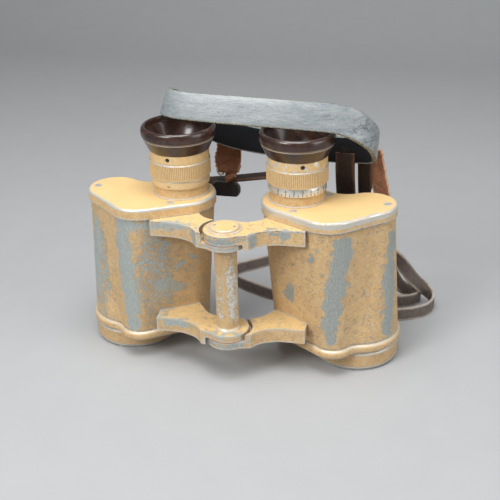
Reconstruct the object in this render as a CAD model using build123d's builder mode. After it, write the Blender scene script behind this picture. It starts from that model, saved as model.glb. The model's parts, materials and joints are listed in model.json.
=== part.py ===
from build123d import *
from math import atan2, degrees, hypot, pi, radians, sqrt, tan
import os

# Prism binoculars of the classic hinged pattern, standing on their objective ends with the
# hinge towards -Y. Millimetres, +Z up, +X to the right of someone who faces the hinge.
# Plan positions are given from the hinge axis, for the right barrel. The left one mirrors it.

# ---------- driving dimensions ----------
eye_axis = (27.3, 27.7)  # eyepiece axis
objective_axis = (55.2, 31.2)  # objective axis
prism_axis = (43.0, 15.5)  # the light path between the two prisms

# levels above the objective end
cap_top = 9.5
plate_top = 14.3
lower_lug_levels = (17.5, 21.2, 24.4)  # underside, split, top
shelf_level = 51.0
upper_lug_levels = (66.5, 69.3, 73.6)
housing_top = 73.7
cover_top = 78.9
guide_top = 89.8
scale_levels = (83.9, 87.9)  # scale band
knurl_top = 95.6
collar_top = 100.0
eyecup_groove = 106.0
eyecup_top = 111.2

# housing outlines: lobes (x, y, radius) round the eyepiece, the front corner and the outer end,
# and the radii of the hollows that join them
cover_lobes = ((28.0, 26.8, 16.9), (43.4, 15.4, 14.3), (60.2, 27.8, 12.5))
cover_hollows = (400.0, 400.0, 12.0)
base_lobes = ((27.3, 27.7, 11.8), (46.5, 12.8, 10.2), (*objective_axis, 21.4))
base_hollows = (400.0, 9.0, 20.0)
cover_overhang = 0.8
base_overhang = 1.3
wall = 2.0

# hinge
lug_radius = 9.6
hug_radius = 11.3  # hollow end of each arm round the other barrel's lug
axle_radius = 3.5
running_fit = 0.05
tube_radius = 5.1
hinge_cap_radius = 6.4
washer_thickness = 0.2
washer_play = 0.02

# eyepiece radii
guide_radius = 12.5
guide_bore = 11.0
lens_tube_radius = guide_bore - running_fit
scale_radius = 13.3
knurl_radius = 14.0
collar_radius = 13.6
eyecup_radius = 17.2
neck_clearance = 0.15

# objective radii
objective_lens_radius = 15.1
cell_radius = 16.6
eccentric_radius = 17.8
collar_outer_radius = 19.0
cap_radius = 20.7

# prisms
prism_length = 34.0
prism_width = 15.0
prism_height = prism_length / 2

# straps
pad_width = 13.0
pad_thickness = 2.6

# ---------- frame ----------
back_reach = base_lobes[2][1] + base_lobes[2][2]
hinge_y = (lug_radius - back_reach) / 2
barrel = Plane((0, hinge_y, 0))  # plan drawings start at the hinge axis


def spot(plan, height=0.0):
    """A place given from the hinge axis, in the part's frame."""
    return (plan[0], plan[1] + hinge_y, height)


def save(name, solid):
    solid.label = name
    export_step(solid, f"parts/{name}.step")


def save_both(name, solid):
    """Write a right-hand piece and its mirror image."""
    save(f"right_{name}", solid)
    save(f"left_{name}", mirror(solid, about=Plane.YZ))


def turned(plan, profile):
    """A piece of revolution about the upright axis at plan, from its (radius, height) points."""
    upright = Plane(origin=spot(plan), x_dir=(1, 0, 0), z_dir=(0, -1, 0))
    with BuildPart() as piece:
        with BuildSketch(upright):
            with BuildLine():
                Polyline(*profile, close=True)
            make_face()
        revolve(axis=Axis(spot(plan), (0, 0, 1)))
    return piece.part


def grown(lobes, hollows, offset):
    """The same outline moved out by offset."""
    return [(x, y, r + offset) for x, y, r in lobes], [h - offset for h in hollows]


def outline(lobes, hollows):
    """Sketch bounded by arcs round the lobes, joined by the tangent hollow arcs between them."""
    nexts = lobes[1:] + lobes[:1]
    bridges = []
    for (x1, y1, r1), (x2, y2, r2), hollow in zip(lobes, nexts, hollows):
        span = hypot(x2 - x1, y2 - y1)
        along = ((r1 + hollow) ** 2 - (r2 + hollow) ** 2 + span**2) / (2 * span)
        out = sqrt((r1 + hollow) ** 2 - along**2)
        ux, uy = (x2 - x1) / span, (y2 - y1) / span
        bridges.append((x1 + ux * along + uy * out, y1 + uy * along - ux * out))
    with BuildSketch() as face:
        with BuildLine():
            for i, (x, y, radius) in enumerate(lobes):
                (x0, y0), (x1, y1), (x2, y2, _) = bridges[i - 1], bridges[i], nexts[i]
                start, end = degrees(atan2(y0 - y, x0 - x)), degrees(atan2(y1 - y, x1 - x))
                CenterArc((x, y), radius, start, (end - start) % 360)
                start, end = degrees(atan2(y - y1, x - x1)), degrees(atan2(y2 - y1, x2 - x1))
                CenterArc((x1, y1), hollows[i], start, -((start - end) % 360))
        make_face()
    return face.sketch


def between(low, high, share):
    """The value that lies a share of the way from low to high."""
    return low + (high - low) * share


def housing_lobes(level, inset):
    """The housing's lobes and hollows at a level, drawn in from its outside by inset."""
    share = (level - plate_top) / (housing_top - plate_top)
    low, low_hollows = grown(base_lobes, base_hollows, -base_overhang - inset)
    high, high_hollows = grown(cover_lobes, cover_hollows, -cover_overhang - inset)
    lobes = [tuple(between(a, b, share) for a, b in zip(*pair)) for pair in zip(low, high)]
    return lobes, [between(a, b, share) for a, b in zip(low_hollows, high_hollows)]


def housing_loft(bottom, top, inset):
    """Solid between two levels inside the housing's outer surface, drawn in by inset."""
    with BuildPart() as piece:
        for level in (bottom, top):
            with BuildSketch(barrel.offset(level)):
                add(outline(*housing_lobes(level, inset)))
        loft()
    return piece.part


# ---------- housings with their cast hinge arms ----------
arm_end = 35.2
arm_front = ((14.5, -2.1), (20.2, 1.1), (26.3, 2.2))
arm_back = ((16.0, 15.8), (11.5, 10.4), (5.5, 8.6))
ledge = 1.0  # step in the housing wall that carries the prism shelf
boss_radius = 2.3
boss_height = 8.0
screw_radius = 0.95
screw_head = (1.7, 1.2)  # radius, height
screw_slot = (0.5, 0.6)  # width, depth
screw_depth = 6.0
cover_screws = ((28.1, 12.2), (41.2, 33.8), (68.2, 27.1))
plate_screws = ((20.0, 29.0), (47.0, 7.4))


def arm_plan():
    """Plan of a hinge arm with its round lug, from the hinge axis to inside the housing."""
    lug_side = Vector(lug_radius, 0).rotate(Axis.Z, -47)
    with BuildSketch() as plan:
        with BuildLine():
            heel = Line(lug_side, (11.6, -5.8))
            front = Spline(heel @ 1, *arm_front, tangents=((0.6, 0.8), (1, 0)))
            Polyline(front @ 1, (arm_end, arm_front[-1][1]), (arm_end, 16), (22, 24), arm_back[0])
            back = Spline(*arm_back)
            Polyline(back @ 1, (0, lug_radius), (0, 0), lug_side)
        make_face()
        Circle(lug_radius)
    return plan.sketch


def arm(levels, lug_levels):
    """A cast arm: full height outside the other barrel's lug, half height round the hinge."""
    with BuildPart() as piece:
        with BuildSketch(barrel.offset(levels[0])):
            add(arm_plan())
            Circle(hug_radius, mode=Mode.SUBTRACT)
        extrude(amount=levels[1] - levels[0])
        with BuildSketch(barrel.offset(lug_levels[0])):
            add(arm_plan())
        extrude(amount=lug_levels[1] - lug_levels[0])
    return piece.part


def lug_levels(levels, upper_half):
    """Underside and top of one half of a hinge joint, with the washer between the halves."""
    bottom, split, top = levels
    if upper_half:
        return split + washer_thickness / 2, top
    return bottom, split - washer_thickness / 2


def housing(side, upper_arm_half, lower_arm_half, bore):
    """The cast barrel housing; side +1 is the right one. True means the upper half of a joint."""
    arms = []
    for levels, upper_half in ((upper_lug_levels, upper_arm_half), (lower_lug_levels, lower_arm_half)):
        arms.append(arm((levels[0], levels[2]), lug_levels(levels, upper_half)))
    with BuildPart() as body:
        add(housing_loft(plate_top, housing_top, 0))
        add(arms)
        add(housing_loft(plate_top, shelf_level, wall + ledge), mode=Mode.SUBTRACT)
        add(housing_loft(shelf_level, housing_top, wall), mode=Mode.SUBTRACT)
        for spots, level in ((cover_screws, housing_top - boss_height), (plate_screws, plate_top)):
            with BuildSketch(barrel.offset(level)):
                with Locations(*spots):
                    Circle(boss_radius)
            extrude(amount=boss_height)
        for spots, level in ((cover_screws, housing_top), (plate_screws, plate_top + screw_depth)):
            with BuildSketch(barrel.offset(level)):
                with Locations(*spots):
                    Circle(screw_radius)
            extrude(amount=-screw_depth, mode=Mode.SUBTRACT)
        with BuildSketch(barrel):
            Circle(bore)
        extrude(amount=cover_top, mode=Mode.SUBTRACT)
    return body.part if side > 0 else mirror(body.part, about=Plane.YZ)


# ---------- covers and their screws ----------
cover_skin = 2.6
edge_round = 1.3
bead_round = 2.0


def cover():
    """Eyepiece-side cover plate, hollow beneath, with a boss for the guide tube."""
    with BuildPart() as plate:
        with BuildSketch(barrel.offset(housing_top)):
            add(outline(cover_lobes, cover_hollows))
        extrude(amount=cover_top - housing_top)
        fillet(plate.faces().sort_by(Axis.Z)[-1].edges(), edge_round)
        with BuildSketch(barrel.offset(housing_top)):
            add(outline(*grown(cover_lobes, cover_hollows, -cover_overhang - wall)))
            with Locations(eye_axis):
                Circle(guide_spigot + wall, mode=Mode.SUBTRACT)
            with Locations(*cover_screws):
                Circle(boss_radius, mode=Mode.SUBTRACT)
        extrude(amount=cover_top - housing_top - cover_skin, mode=Mode.SUBTRACT)
        with Locations(spot(eye_axis, cover_top)):
            Hole(guide_spigot)
        with Locations(*[spot(plan, cover_top) for plan in cover_screws]):
            CounterBoreHole(screw_radius, screw_head[0], screw_head[1])
    return plate.part


def objective_plate():
    """Objective-side plate with its rounded bead, and the collar that carries the cap."""
    with BuildPart() as plate:
        with BuildSketch(barrel.offset(cap_top)):
            add(outline(base_lobes, base_hollows))
        extrude(amount=plate_top - cap_top)
        fillet(plate.faces().sort_by(Axis.Z)[-1].edges(), bead_round)
        fillet(plate.faces().sort_by(Axis.Z)[0].edges(), bead_round)
        with BuildSketch(barrel.offset(collar_bottom)):
            with Locations(objective_axis):
                Circle(collar_outer_radius)
        extrude(amount=cap_top - collar_bottom)
        with Locations(spot(objective_axis, plate_top)):
            Hole(eccentric_radius)
        with Locations(*[Plane(spot(plan, cap_top), z_dir=(0, 0, -1)) for plan in plate_screws]):
            CounterBoreHole(screw_radius, screw_head[0], screw_head[1])
    return plate.part


def slotted_screws():
    """The plate screws of one barrel: three from above, two from below."""
    places = [Plane(spot(plan, cover_top)) for plan in cover_screws]
    places += [Plane(spot(plan, cap_top), z_dir=(0, 0, -1)) for plan in plate_screws]
    shank = cover_top - housing_top + screw_depth - 1
    with BuildPart() as screws:
        with Locations(*places):
            Cylinder(screw_radius, shank, align=(Align.CENTER, Align.CENTER, Align.MAX))
            Cylinder(*screw_head, align=(Align.CENTER, Align.CENTER, Align.MAX))
            Box(
                2 * screw_head[0],
                screw_slot[0],
                screw_slot[1],
                rotation=(0, 0, slot_angle),
                align=(Align.CENTER, Align.CENTER, Align.MAX),
                mode=Mode.SUBTRACT,
            )
    return screws.part


# ---------- objective ----------
objective_lens_levels = (4.6, 11.9)
clear_radius = 14.2
collar_bottom = 1.6
cap_notch = (2.4, 1.2, 1.4)  # width, depth and height of each spanner notch


def lens(plan, radius, levels, bulges):
    """A round lens between two levels; each face stands out by its bulge."""
    low, high = levels
    with BuildPart() as glass:
        with BuildSketch(Plane(origin=spot(plan), x_dir=(1, 0, 0), z_dir=(0, -1, 0))):
            with BuildLine():
                Line((0, low - bulges[0]), (0, high + bulges[1]))
                crown(radius, high, bulges[1])
                Line((radius, high), (radius, low))
                crown(radius, low, -bulges[0])
            make_face()
        revolve(axis=Axis(spot(plan), (0, 0, 1)))
    return glass.part


def crown(radius, level, bulge):
    """Half of a lens face's arc, from its middle to its rim, or a line where it is flat."""
    if bulge:
        sphere = (radius**2 + bulge**2) / (2 * bulge)
        middle = sqrt(sphere**2 - (radius / 2) ** 2) * (1 if bulge > 0 else -1)
        halfway = (radius / 2, level + bulge - sphere + middle)
        ThreePointArc((0, level + bulge), halfway, (radius, level))
    else:
        Line((0, level), (radius, level))


def objective_cap():
    """Short ring round the objective, with a rounded lower edge and two spanner notches."""
    with BuildPart() as cap:
        add(
            turned(
                objective_axis,
                [
                    (clear_radius + 0.6, 0),
                    (cap_radius - 1.6, 0),
                    (cap_radius - 0.3, 1.6),
                    (cap_radius, cap_top - 1.0),
                    (cap_radius - 0.5, cap_top),
                    (collar_outer_radius, cap_top),
                    (collar_outer_radius, collar_bottom),
                    (clear_radius + 0.6, collar_bottom),
                ],
            )
        )
        with Locations(Location(spot(objective_axis))):
            with PolarLocations(cap_radius, 2, start_angle=-80):
                Box(2 * cap_notch[1], cap_notch[0], 2 * cap_notch[2], mode=Mode.SUBTRACT)
    return cap.part


def objective_pieces():
    """Name and solid of each piece that carries the objective lens, and the lens."""
    low, high = objective_lens_levels
    eccentric = [(cell_radius, 2.0), (eccentric_radius, 2.0), (eccentric_radius, 13.0), (cell_radius, 13.0)]
    cell = [
        (objective_lens_radius, 2.2),
        (cell_radius, 2.2),
        (cell_radius, high + 2),
        (clear_radius, high + 2),
        (clear_radius, high),
        (objective_lens_radius, high),
    ]
    retainer = [
        (clear_radius, low - 1.7),
        (objective_lens_radius, low - 1.7),
        (objective_lens_radius, low),
        (clear_radius, low - 0.4),
    ]
    return {
        "objective_cap": objective_cap(),
        "eccentric_ring": turned(objective_axis, eccentric),
        "objective_cell": turned(objective_axis, cell),
        "objective_lens": lens(objective_axis, objective_lens_radius, objective_lens_levels, (1.2, 0)),
        "objective_retainer": turned(objective_axis, retainer),
    }


# ---------- prisms on their shelf ----------
shelf_thickness = 2.5
light_hole_radius = 6.3
prism_flat = 0.8  # ground edge where two faces would meet in a knife edge
clip_strip = 0.6
clip_width = 5.0
clip_foot = 9.4


def prism_plane(start, end, level):
    """Plane on the shelf midway between two light paths, with x from one to the other."""
    middle = ((start[0] + end[0]) / 2, (start[1] + end[1]) / 2)
    return Plane(spot(middle, level), x_dir=(end[0] - start[0], end[1] - start[1], 0))


def prism_shelf():
    """Cross wall with the three holes for the folded light path."""
    top = shelf_level + shelf_thickness
    with BuildPart() as shelf:
        add(housing_loft(shelf_level, top, wall + 0.3))
        with Locations(*[spot(axis, top) for axis in (objective_axis, prism_axis, eye_axis)]):
            Hole(light_hole_radius)
    return shelf.part


def prism(base, way):
    """Right-angle prism with rounded ends; way +1 points its ridge up, -1 down."""
    half = prism_length / 2
    roof = [
        (-half, 0),
        (half, 0),
        (half, prism_flat * way),
        (prism_flat, half * way),
        (-prism_flat, half * way),
        (-half, prism_flat * way),
    ]
    with BuildPart() as glass:
        with BuildSketch(base):
            SlotOverall(prism_length, prism_width)
        extrude(amount=half * way)
        with BuildSketch(Plane(base.origin, x_dir=base.x_dir, z_dir=-base.y_dir)):
            with BuildLine():
                Polyline(*roof, close=True)
            make_face()
        extrude(amount=prism_width, both=True, mode=Mode.INTERSECT)
    return glass.part


def prism_clip(base, way):
    """Sprung strap over a prism's ridge, with a foot on the shelf at each side."""
    side = prism_width / 2 + clip_strip / 2 + 0.1
    ridge = (prism_length / 2 + clip_strip / 2) * way
    foot = clip_strip / 2 * way
    with BuildPart() as clip:
        with BuildSketch(Plane(base.origin, x_dir=base.y_dir, z_dir=base.x_dir)):
            with BuildLine():
                Polyline((-clip_foot, foot), (-side, foot), (-side, ridge), (0, ridge))
                Polyline((0, ridge), (side, ridge), (side, foot), (clip_foot, foot))
            trace(line_width=clip_strip)
        extrude(amount=clip_width / 2, both=True)
    return clip.part


# ---------- eyepiece ----------
guide_spigot = 11.6
flange_radius = 13.2
lens_tube_bottom = 74.5
lens_flange = (94.0, 95.5)
field_lens_levels = (76.5, 79.6)
eye_lens_levels = (94.6, 97.6)
bore_radius = 9.4
eye_lens_radius = 7.7
neck_radius = 8.9
spigot_radius = 11.5
set_screw_level = 98.2
set_screw_radius = 0.9
reticle_levels = (61.0, 62.5)
reticle_radius = 9.0


def guide_tube():
    """Fixed eyepiece tube, screwed into the cover, that the focusing ring runs on."""
    return turned(
        eye_axis,
        [
            (guide_bore, housing_top - 2),
            (guide_spigot, housing_top - 2),
            (guide_spigot, cover_top),
            (flange_radius, cover_top),
            (flange_radius, cover_top + 0.4),
            (guide_radius, cover_top + 0.6),
            (guide_radius, guide_top),
            (guide_bore, guide_top),
        ],
    )


def lens_tube():
    """Sliding tube that carries the eyepiece lenses and doesn't turn."""
    low, high = lens_flange
    return turned(
        eye_axis,
        [
            (bore_radius, lens_tube_bottom),
            (lens_tube_radius, lens_tube_bottom),
            (lens_tube_radius, low),
            (guide_radius - neck_clearance, low),
            (guide_radius - neck_clearance, high),
            (neck_radius, high),
            (neck_radius, high + 3.5),
            (eye_lens_radius, high + 3.5),
            (eye_lens_radius, eye_lens_levels[0]),
            (eye_lens_radius - 0.7, eye_lens_levels[0]),
            (eye_lens_radius - 0.7, eye_lens_levels[0] - 1.2),
            (bore_radius, eye_lens_levels[0] - 1.2),
        ],
    )


def focus_ring(screw_angle):
    """Ring with the scale band, the grip band and the plain collar under the eyecup."""
    low, split = scale_levels
    web = lens_flange[1] + 0.1
    with BuildPart() as ring:
        add(
            turned(
                eye_axis,
                [
                    (guide_radius + running_fit, low),
                    (scale_radius, low),
                    (scale_radius, split),
                    (knurl_radius, split + 0.2),
                    (knurl_radius, knurl_top),
                    (collar_radius, knurl_top + 0.3),
                    (collar_radius, collar_top),
                    (spigot_radius, collar_top),
                    (spigot_radius, web + 1.4),
                    (neck_radius + 0.1, web + 1.4),
                    (neck_radius + 0.1, web),
                    (guide_radius + running_fit, web),
                ],
            )
        )
        with BuildSketch(set_screw_plane(screw_angle, 0)):
            Circle(set_screw_radius)
        extrude(amount=collar_radius + 1, mode=Mode.SUBTRACT)
    return ring.part


def set_screw_plane(angle, reach):
    """Plane across the set screw, reach out from the eyepiece axis."""
    out = Vector(1, 0, 0).rotate(Axis.Z, angle)
    return Plane(Vector(*spot(eye_axis, set_screw_level)) + out * reach, z_dir=out)


def set_screw(angle):
    """Grub screw through the collar into the eyecup's spigot."""
    with BuildPart() as screw:
        with BuildSketch(set_screw_plane(angle, spigot_radius + 0.1)):
            Circle(set_screw_radius - 0.05)
        extrude(amount=collar_radius - spigot_radius - 0.4)
        with BuildSketch(set_screw_plane(angle, collar_radius)):
            Rectangle(2 * set_screw_radius, 0.4)
        extrude(amount=-0.7, mode=Mode.SUBTRACT)
    return screw.part


def eyecup():
    """Flared eyecup: spigot, cone, groove and rounded rim band round a smooth bowl."""
    with BuildPart() as cup:
        add(
            turned(
                eye_axis,
                [
                    (neck_radius + 0.2, collar_top - 2.6),
                    (spigot_radius - 0.05, collar_top - 2.6),
                    (spigot_radius - 0.05, collar_top),
                    (collar_radius + 0.3, collar_top),
                    (eyecup_radius - 0.6, eyecup_groove - 0.4),
                    (eyecup_radius - 0.9, eyecup_groove - 0.2),
                    (eyecup_radius - 0.9, eyecup_groove + 0.2),
                    (eyecup_radius - 0.2, eyecup_groove + 0.5),
                    (eyecup_radius, eyecup_groove + 2.6),
                    (eyecup_radius - 0.8, eyecup_top - 0.4),
                    (eyecup_radius - 1.6, eyecup_top),
                    (eyecup_radius - 2.2, eyecup_top - 0.5),
                    (eyecup_radius - 2.4, eyecup_top - 2.4),
                    (eyecup_radius - 5.0, eyecup_groove - 2.0),
                    (neck_radius + 1.6, collar_top + 0.6),
                    (neck_radius + 0.2, collar_top - 0.4),
                ],
            )
        )
    return cup.part


def eyepiece_pieces():
    """Name and solid of each eyepiece piece that is the same on both barrels."""
    retainer = [
        (eye_lens_radius - 1.1, 98.0),
        (eye_lens_radius, 97.7),
        (eye_lens_radius, 98.7),
        (eye_lens_radius - 0.8, 98.7),
    ]
    return {
        "guide_tube": guide_tube(),
        "lens_tube": lens_tube(),
        "field_lens": lens(eye_axis, bore_radius, field_lens_levels, (0, 1.6)),
        "eye_lens": lens(eye_axis, eye_lens_radius, eye_lens_levels, (0, 1.1)),
        "eye_lens_retainer": turned(eye_axis, retainer),
        "eyecup": eyecup(),
    }


# ---------- hinge ----------
cap_shoulder = (7.8, 0.5)  # radius, height
cap_height = 1.5
spanner_hole = (0.55, 1.0, 4.5)  # radius, depth, distance from the axis
tube_foot = (5.9, 1.2)  # radius, height


def hinge_axle():
    """Steel axle through all four lugs."""
    low = lower_lug_levels[0] + 1.0
    high = upper_lug_levels[2] - 1.0
    return turned((0, 0), [(0, low), (axle_radius, low), (axle_radius, high), (0, high)])


def hinge_tube():
    """Plain tube round the axle between the lugs, with a small rounded foot."""
    low, high = lower_lug_levels[2] + running_fit, upper_lug_levels[0] - running_fit
    return turned(
        (0, 0),
        [
            (axle_radius, low),
            (tube_foot[0], low),
            (tube_foot[0] - 0.3, low + tube_foot[1] / 2),
            (tube_radius, low + tube_foot[1]),
            (tube_radius, high),
            (axle_radius, high),
        ],
    )


def hinge_cap(level, way):
    """Stepped screw cap over an end of the axle, with two spanner holes."""
    shoulder, step = cap_shoulder
    top = level + cap_height * way
    profile = [
        (0, level - way),
        (axle_radius, level - way),
        (axle_radius, level),
        (shoulder, level),
        (shoulder - 0.2, level + step * way),
        (hinge_cap_radius, level + step * way),
        (hinge_cap_radius, top - 0.3 * way),
        (hinge_cap_radius - 0.4, top),
        (0, top),
    ]
    radius, depth, reach = spanner_hole
    with BuildPart() as cap:
        add(turned((0, 0), profile))
        with Locations(Location(spot((0, 0), top))):
            with PolarLocations(reach, 2):
                Cylinder(radius, 2 * depth, mode=Mode.SUBTRACT)
    return cap.part


def washer(split):
    """Thin fibre washer between the two halves of a hinge joint."""
    low, high = split - washer_thickness / 2 + washer_play, split + washer_thickness / 2 - washer_play
    rim = lug_radius + 0.1
    return turned((0, 0), [(axle_radius, low), (rim, low), (rim, high), (axle_radius, high)])


# ---------- strap lugs ----------
lug_direction = 95.0  # degrees in plan from +X, seen from the outer end of the housing
strap_lug_level = 60.0
lug_pad = (13.0, 7.0, 1.0)
bail_reach = 4.8
bail_half = 5.4
bail_bar = 2.2
bail_height = 3.0


def strap_lug():
    """Pad on the housing with a square bail that the strap hangs from."""
    (x, y, radius), *_ = reversed(housing_lobes(strap_lug_level, 0)[0])
    out = Vector(1, 0, 0).rotate(Axis.Z, lug_direction)
    foot = Vector(*spot((x, y), strap_lug_level)) + out * radius
    with BuildPart() as lug:
        with BuildSketch(Plane(foot, x_dir=out.rotate(Axis.Z, 90), z_dir=out)):
            RectangleRounded(lug_pad[0], lug_pad[1], 1.5)
        extrude(amount=lug_pad[2])
        extrude(lug.faces().sort_by(Axis.Y)[0], amount=wall)
        with BuildSketch(Plane(foot, x_dir=-out.rotate(Axis.Z, 90), z_dir=(0, 0, 1))):
            with BuildLine():
                Polyline((-bail_half, 0), (-bail_half, bail_reach), (bail_half, bail_reach), (bail_half, 0))
            trace(line_width=bail_bar)
        extrude(amount=bail_height / 2, both=True)
        add(housing_loft(plate_top, housing_top, 0), mode=Mode.SUBTRACT)
    return lug.part


# ---------- neck pad and straps ----------
tube_diameter = 5.0  # a plain round tube stands in for each flat strap
half_tube = tube_diameter / 2

# middle of the pad's band, from its end behind the right eyecup round by the front and back
pad_line = (
    (19.0, 50.6, 95.6),
    (4.0, 50.8, 97.0),
    (-11.0, 50.2, 99.8),
    (-23.0, 49.2, 106.0),
    (-32.4, 47.6, 114.5),
    (-37.0, 43.0, 118.3),
    (-37.0, 36.0, 118.6),
    (-31.0, 31.2, 118.5),
    (-16.0, 29.4, 118.4),
    (6.0, 27.4, 118.4),
    (24.0, 25.4, 118.4),
    (40.0, 24.2, 118.3),
    (46.0, 24.6, 117.8),
    (54.5, 27.2, 113.2),
    (60.5, 32.4, 107.6),
    (62.6, 39.5, 101.4),
    (59.0, 46.3, 96.8),
    (50.0, 50.2, 95.0),
    (36.0, 50.8, 94.6),
    (24.0, 50.8, 95.0),
)

# rough leather tabs and the keeper: middle, (width, thickness, height), lean
left_tab = ((-11.0, 53.4, 89.5), (12.0, 2.2, 20.0), 0.0)
right_tab = ((61.6, 51.0, 83.5), (8.5, 2.2, 24.0), 16.0)
strap_keeper = ((-11.4, 52.8, 70.6), (17.0, 1.8, 7.6), 0.0)
stud_spot = (46.0, 50.35, 95.0)
stud_size = (2.6, 1.1, 0.8)  # head radius, shank radius, head thickness

# routes of the straps' middle lines, from the strap lugs
right_route = (
    (57.4, 46.6, 58.4),
    (57.4, 46.6, 54.0),
    (60.5, 51.0, 49.5),
    (65.0, 57.0, 44.5),
    (70.5, 62.0, 38.0),
    (76.0, 69.5, 26.0),
    (81.0, 78.0, 15.0),
    (86.5, 84.5, 6.5),
    (91.5, 79.0, half_tube),
    (88.0, 69.5, half_tube),
    (78.5, 63.0, half_tube),
    (65.0, 60.0, half_tube),
    (50.0, 60.5, half_tube),
    (34.0, 63.5, half_tube),
    (18.0, 67.5, half_tube),
    (3.0, 73.0, half_tube),
    (-11.0, 80.0, half_tube),
    (-22.0, 88.0, half_tube),
    (-21.0, 97.0, half_tube),
    (-10.0, 106.5, half_tube),
    (0.5, 116.0, half_tube),
    (12.0, 124.5, half_tube),
    (27.0, 126.0, half_tube),
    (41.5, 118.0, half_tube),
    (50.0, 104.0, half_tube + 0.5),
    (52.5, 89.0, 5.0),
    (51.5, 76.5, 14.0),
    (49.5, 67.5, 28.0),
    (48.0, 60.5, 45.0),
    (47.0, 55.0, 62.0),
    (46.6, 51.6, 76.0),
    (46.5, 50.6, 82.5),
    (46.5, 50.6, 88.2),
)
tail_route = (
    (60.0, 58.5, 44.0),
    (62.5, 62.5, 36.0),
    (67.5, 70.5, 25.0),
    (71.5, 79.0, 13.5),
    (74.5, 86.5, 5.0),
    (79.5, 91.0, half_tube),
    (84.0, 86.5, half_tube),
    (81.5, 79.5, half_tube),
    (72.5, 75.5, half_tube),
    (60.0, 74.5, half_tube),
    (47.0, 75.5, half_tube),
    (36.0, 78.5, half_tube),
)
left_route = (
    (-57.4, 46.6, 61.8),
    (-57.4, 46.6, 65.0),
    (-54.0, 51.0, 67.5),
    (-47.0, 55.0, 69.0),
    (-38.0, 57.0, 70.5),
    (-27.0, 57.5, 72.0),
    (-15.0, 56.8, 73.8),
    (-3.0, 55.8, 76.0),
    (9.0, 54.6, 78.4),
    (20.0, 53.2, 80.2),
    (27.5, 51.6, 81.8),
    (31.0, 50.8, 84.8),
    (31.0, 50.8, 88.1),
)


def rounded_path(route):
    """Straight runs joined by arcs as large as their runs allow, and the arcs' radii."""
    points = [Vector(*spot(point[:2], point[2])) for point in route]
    radii = []
    for before, here, after in zip(points, points[1:], points[2:]):
        turn = (here - before).get_angle(after - here)
        shorter = min((here - before).length, (after - here).length)
        radii.append(0.45 * shorter / tan(radians(turn) / 2))
    return FilletPolyline(*points, radius=radii), radii


def strap(name, route):
    """Tube along a strap's route; its volume is compared with its section times its length."""
    with BuildPart() as tube:
        with BuildLine() as path:
            line, radii = rounded_path(route)
        with BuildSketch(Plane(line @ 0, z_dir=line % 0)):
            Circle(half_tube)
        sweep()
    length = sum(edge.length for edge in path.edges())
    ratio = tube.part.volume / (length * pi * half_tube**2)
    print(f"{name}: length {length:.0f} mm, volume ratio {ratio:.3f}, radii {[round(r) for r in radii]}")
    return tube.part


def neck_pad():
    """Plain band through upright rectangles along the pad's line, from end to end."""
    points = [Vector(*spot(point[:2], point[2])) for point in pad_line]
    with BuildPart() as pad:
        for i, point in enumerate(points):
            along = points[min(i + 1, len(points) - 1)] - points[max(i - 1, 0)]
            across = Vector(0, 0, 1).cross(along)
            with BuildSketch(Plane(point, x_dir=across, z_dir=along)):
                Rectangle(pad_thickness, pad_width)
        loft(ruled=True)
        with Locations(stud_face()):
            Cylinder(stud_size[1], 4 * pad_thickness, mode=Mode.SUBTRACT)
    return pad.part


def stud_face():
    """Upright plane on the middle of the band where the stud goes through."""
    return Plane(spot(stud_spot[:2], stud_spot[2]), x_dir=(1, 0, 0), z_dir=(0, -1, 0))


def hanging_piece(middle, size, lean):
    """A flat leather piece of a width, thickness and height, leaning to one side."""
    face = Plane(spot(middle[:2], middle[2]), x_dir=(1, 0, 0), z_dir=(0, -1, 0))
    with BuildPart() as piece:
        with BuildSketch(face):
            RectangleRounded(size[0], size[2], 0.3 * min(size[0], size[2]), rotation=lean)
        extrude(amount=size[1] / 2, both=True)
    return piece.part


def pad_stud():
    """Round-headed rivet through the back of the pad's band."""
    head, shank, thickness = stud_size
    under_head = pad_thickness / 2 + 0.1
    with BuildPart() as stud:
        with BuildSketch(stud_face()):
            Circle(shank)
        extrude(amount=under_head + thickness, both=True)
        for end in (1, -1):
            with BuildSketch(stud_face().offset(end * under_head)):
                Circle(head)
            extrude(amount=end * thickness)
    return stud.part


# ---------- writing the pieces ----------
slot_angle = 25.0
set_screw_angles = {"right": -70.0, "left": -97.0}
lower_prism_base = prism_plane(prism_axis, eye_axis, shelf_level)
upper_prism_base = prism_plane(objective_axis, prism_axis, shelf_level + shelf_thickness)

os.makedirs("parts", exist_ok=True)

save("right_housing", housing(1, True, False, axle_radius))
save("left_housing", housing(-1, False, True, axle_radius + running_fit))

barrel_pieces = {
    "cover": cover(),
    "objective_plate": objective_plate(),
    "plate_screws": slotted_screws(),
    "prism_shelf": prism_shelf(),
    "upper_prism": prism(upper_prism_base, 1),
    "lower_prism": prism(lower_prism_base, -1),
    "prism_clips": prism_clip(upper_prism_base, 1) + prism_clip(lower_prism_base, -1),
    "strap_lug": strap_lug(),
    **objective_pieces(),
    **eyepiece_pieces(),
}
for piece_name, piece_solid in barrel_pieces.items():
    save_both(piece_name, piece_solid)

for side, angle in set_screw_angles.items():
    turn_to_side = angle if side == "right" else 180 - angle
    ring, grub = focus_ring(turn_to_side), set_screw(turn_to_side)
    if side == "left":
        ring, grub = mirror(ring, about=Plane.YZ), mirror(grub, about=Plane.YZ)
    save(f"{side}_focus_ring", ring)
    save(f"{side}_set_screw", grub)

reticle_ring = [
    (reticle_radius - 1, shelf_level + shelf_thickness),
    (reticle_radius + 1, shelf_level + shelf_thickness),
    (reticle_radius + 1, reticle_levels[1]),
    (reticle_radius, reticle_levels[1]),
    (reticle_radius, reticle_levels[0]),
    (reticle_radius - 1, reticle_levels[0]),
]
save("reticle_cell", turned(eye_axis, reticle_ring))
save("reticle", lens(eye_axis, reticle_radius, reticle_levels, (0, 0)))

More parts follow.
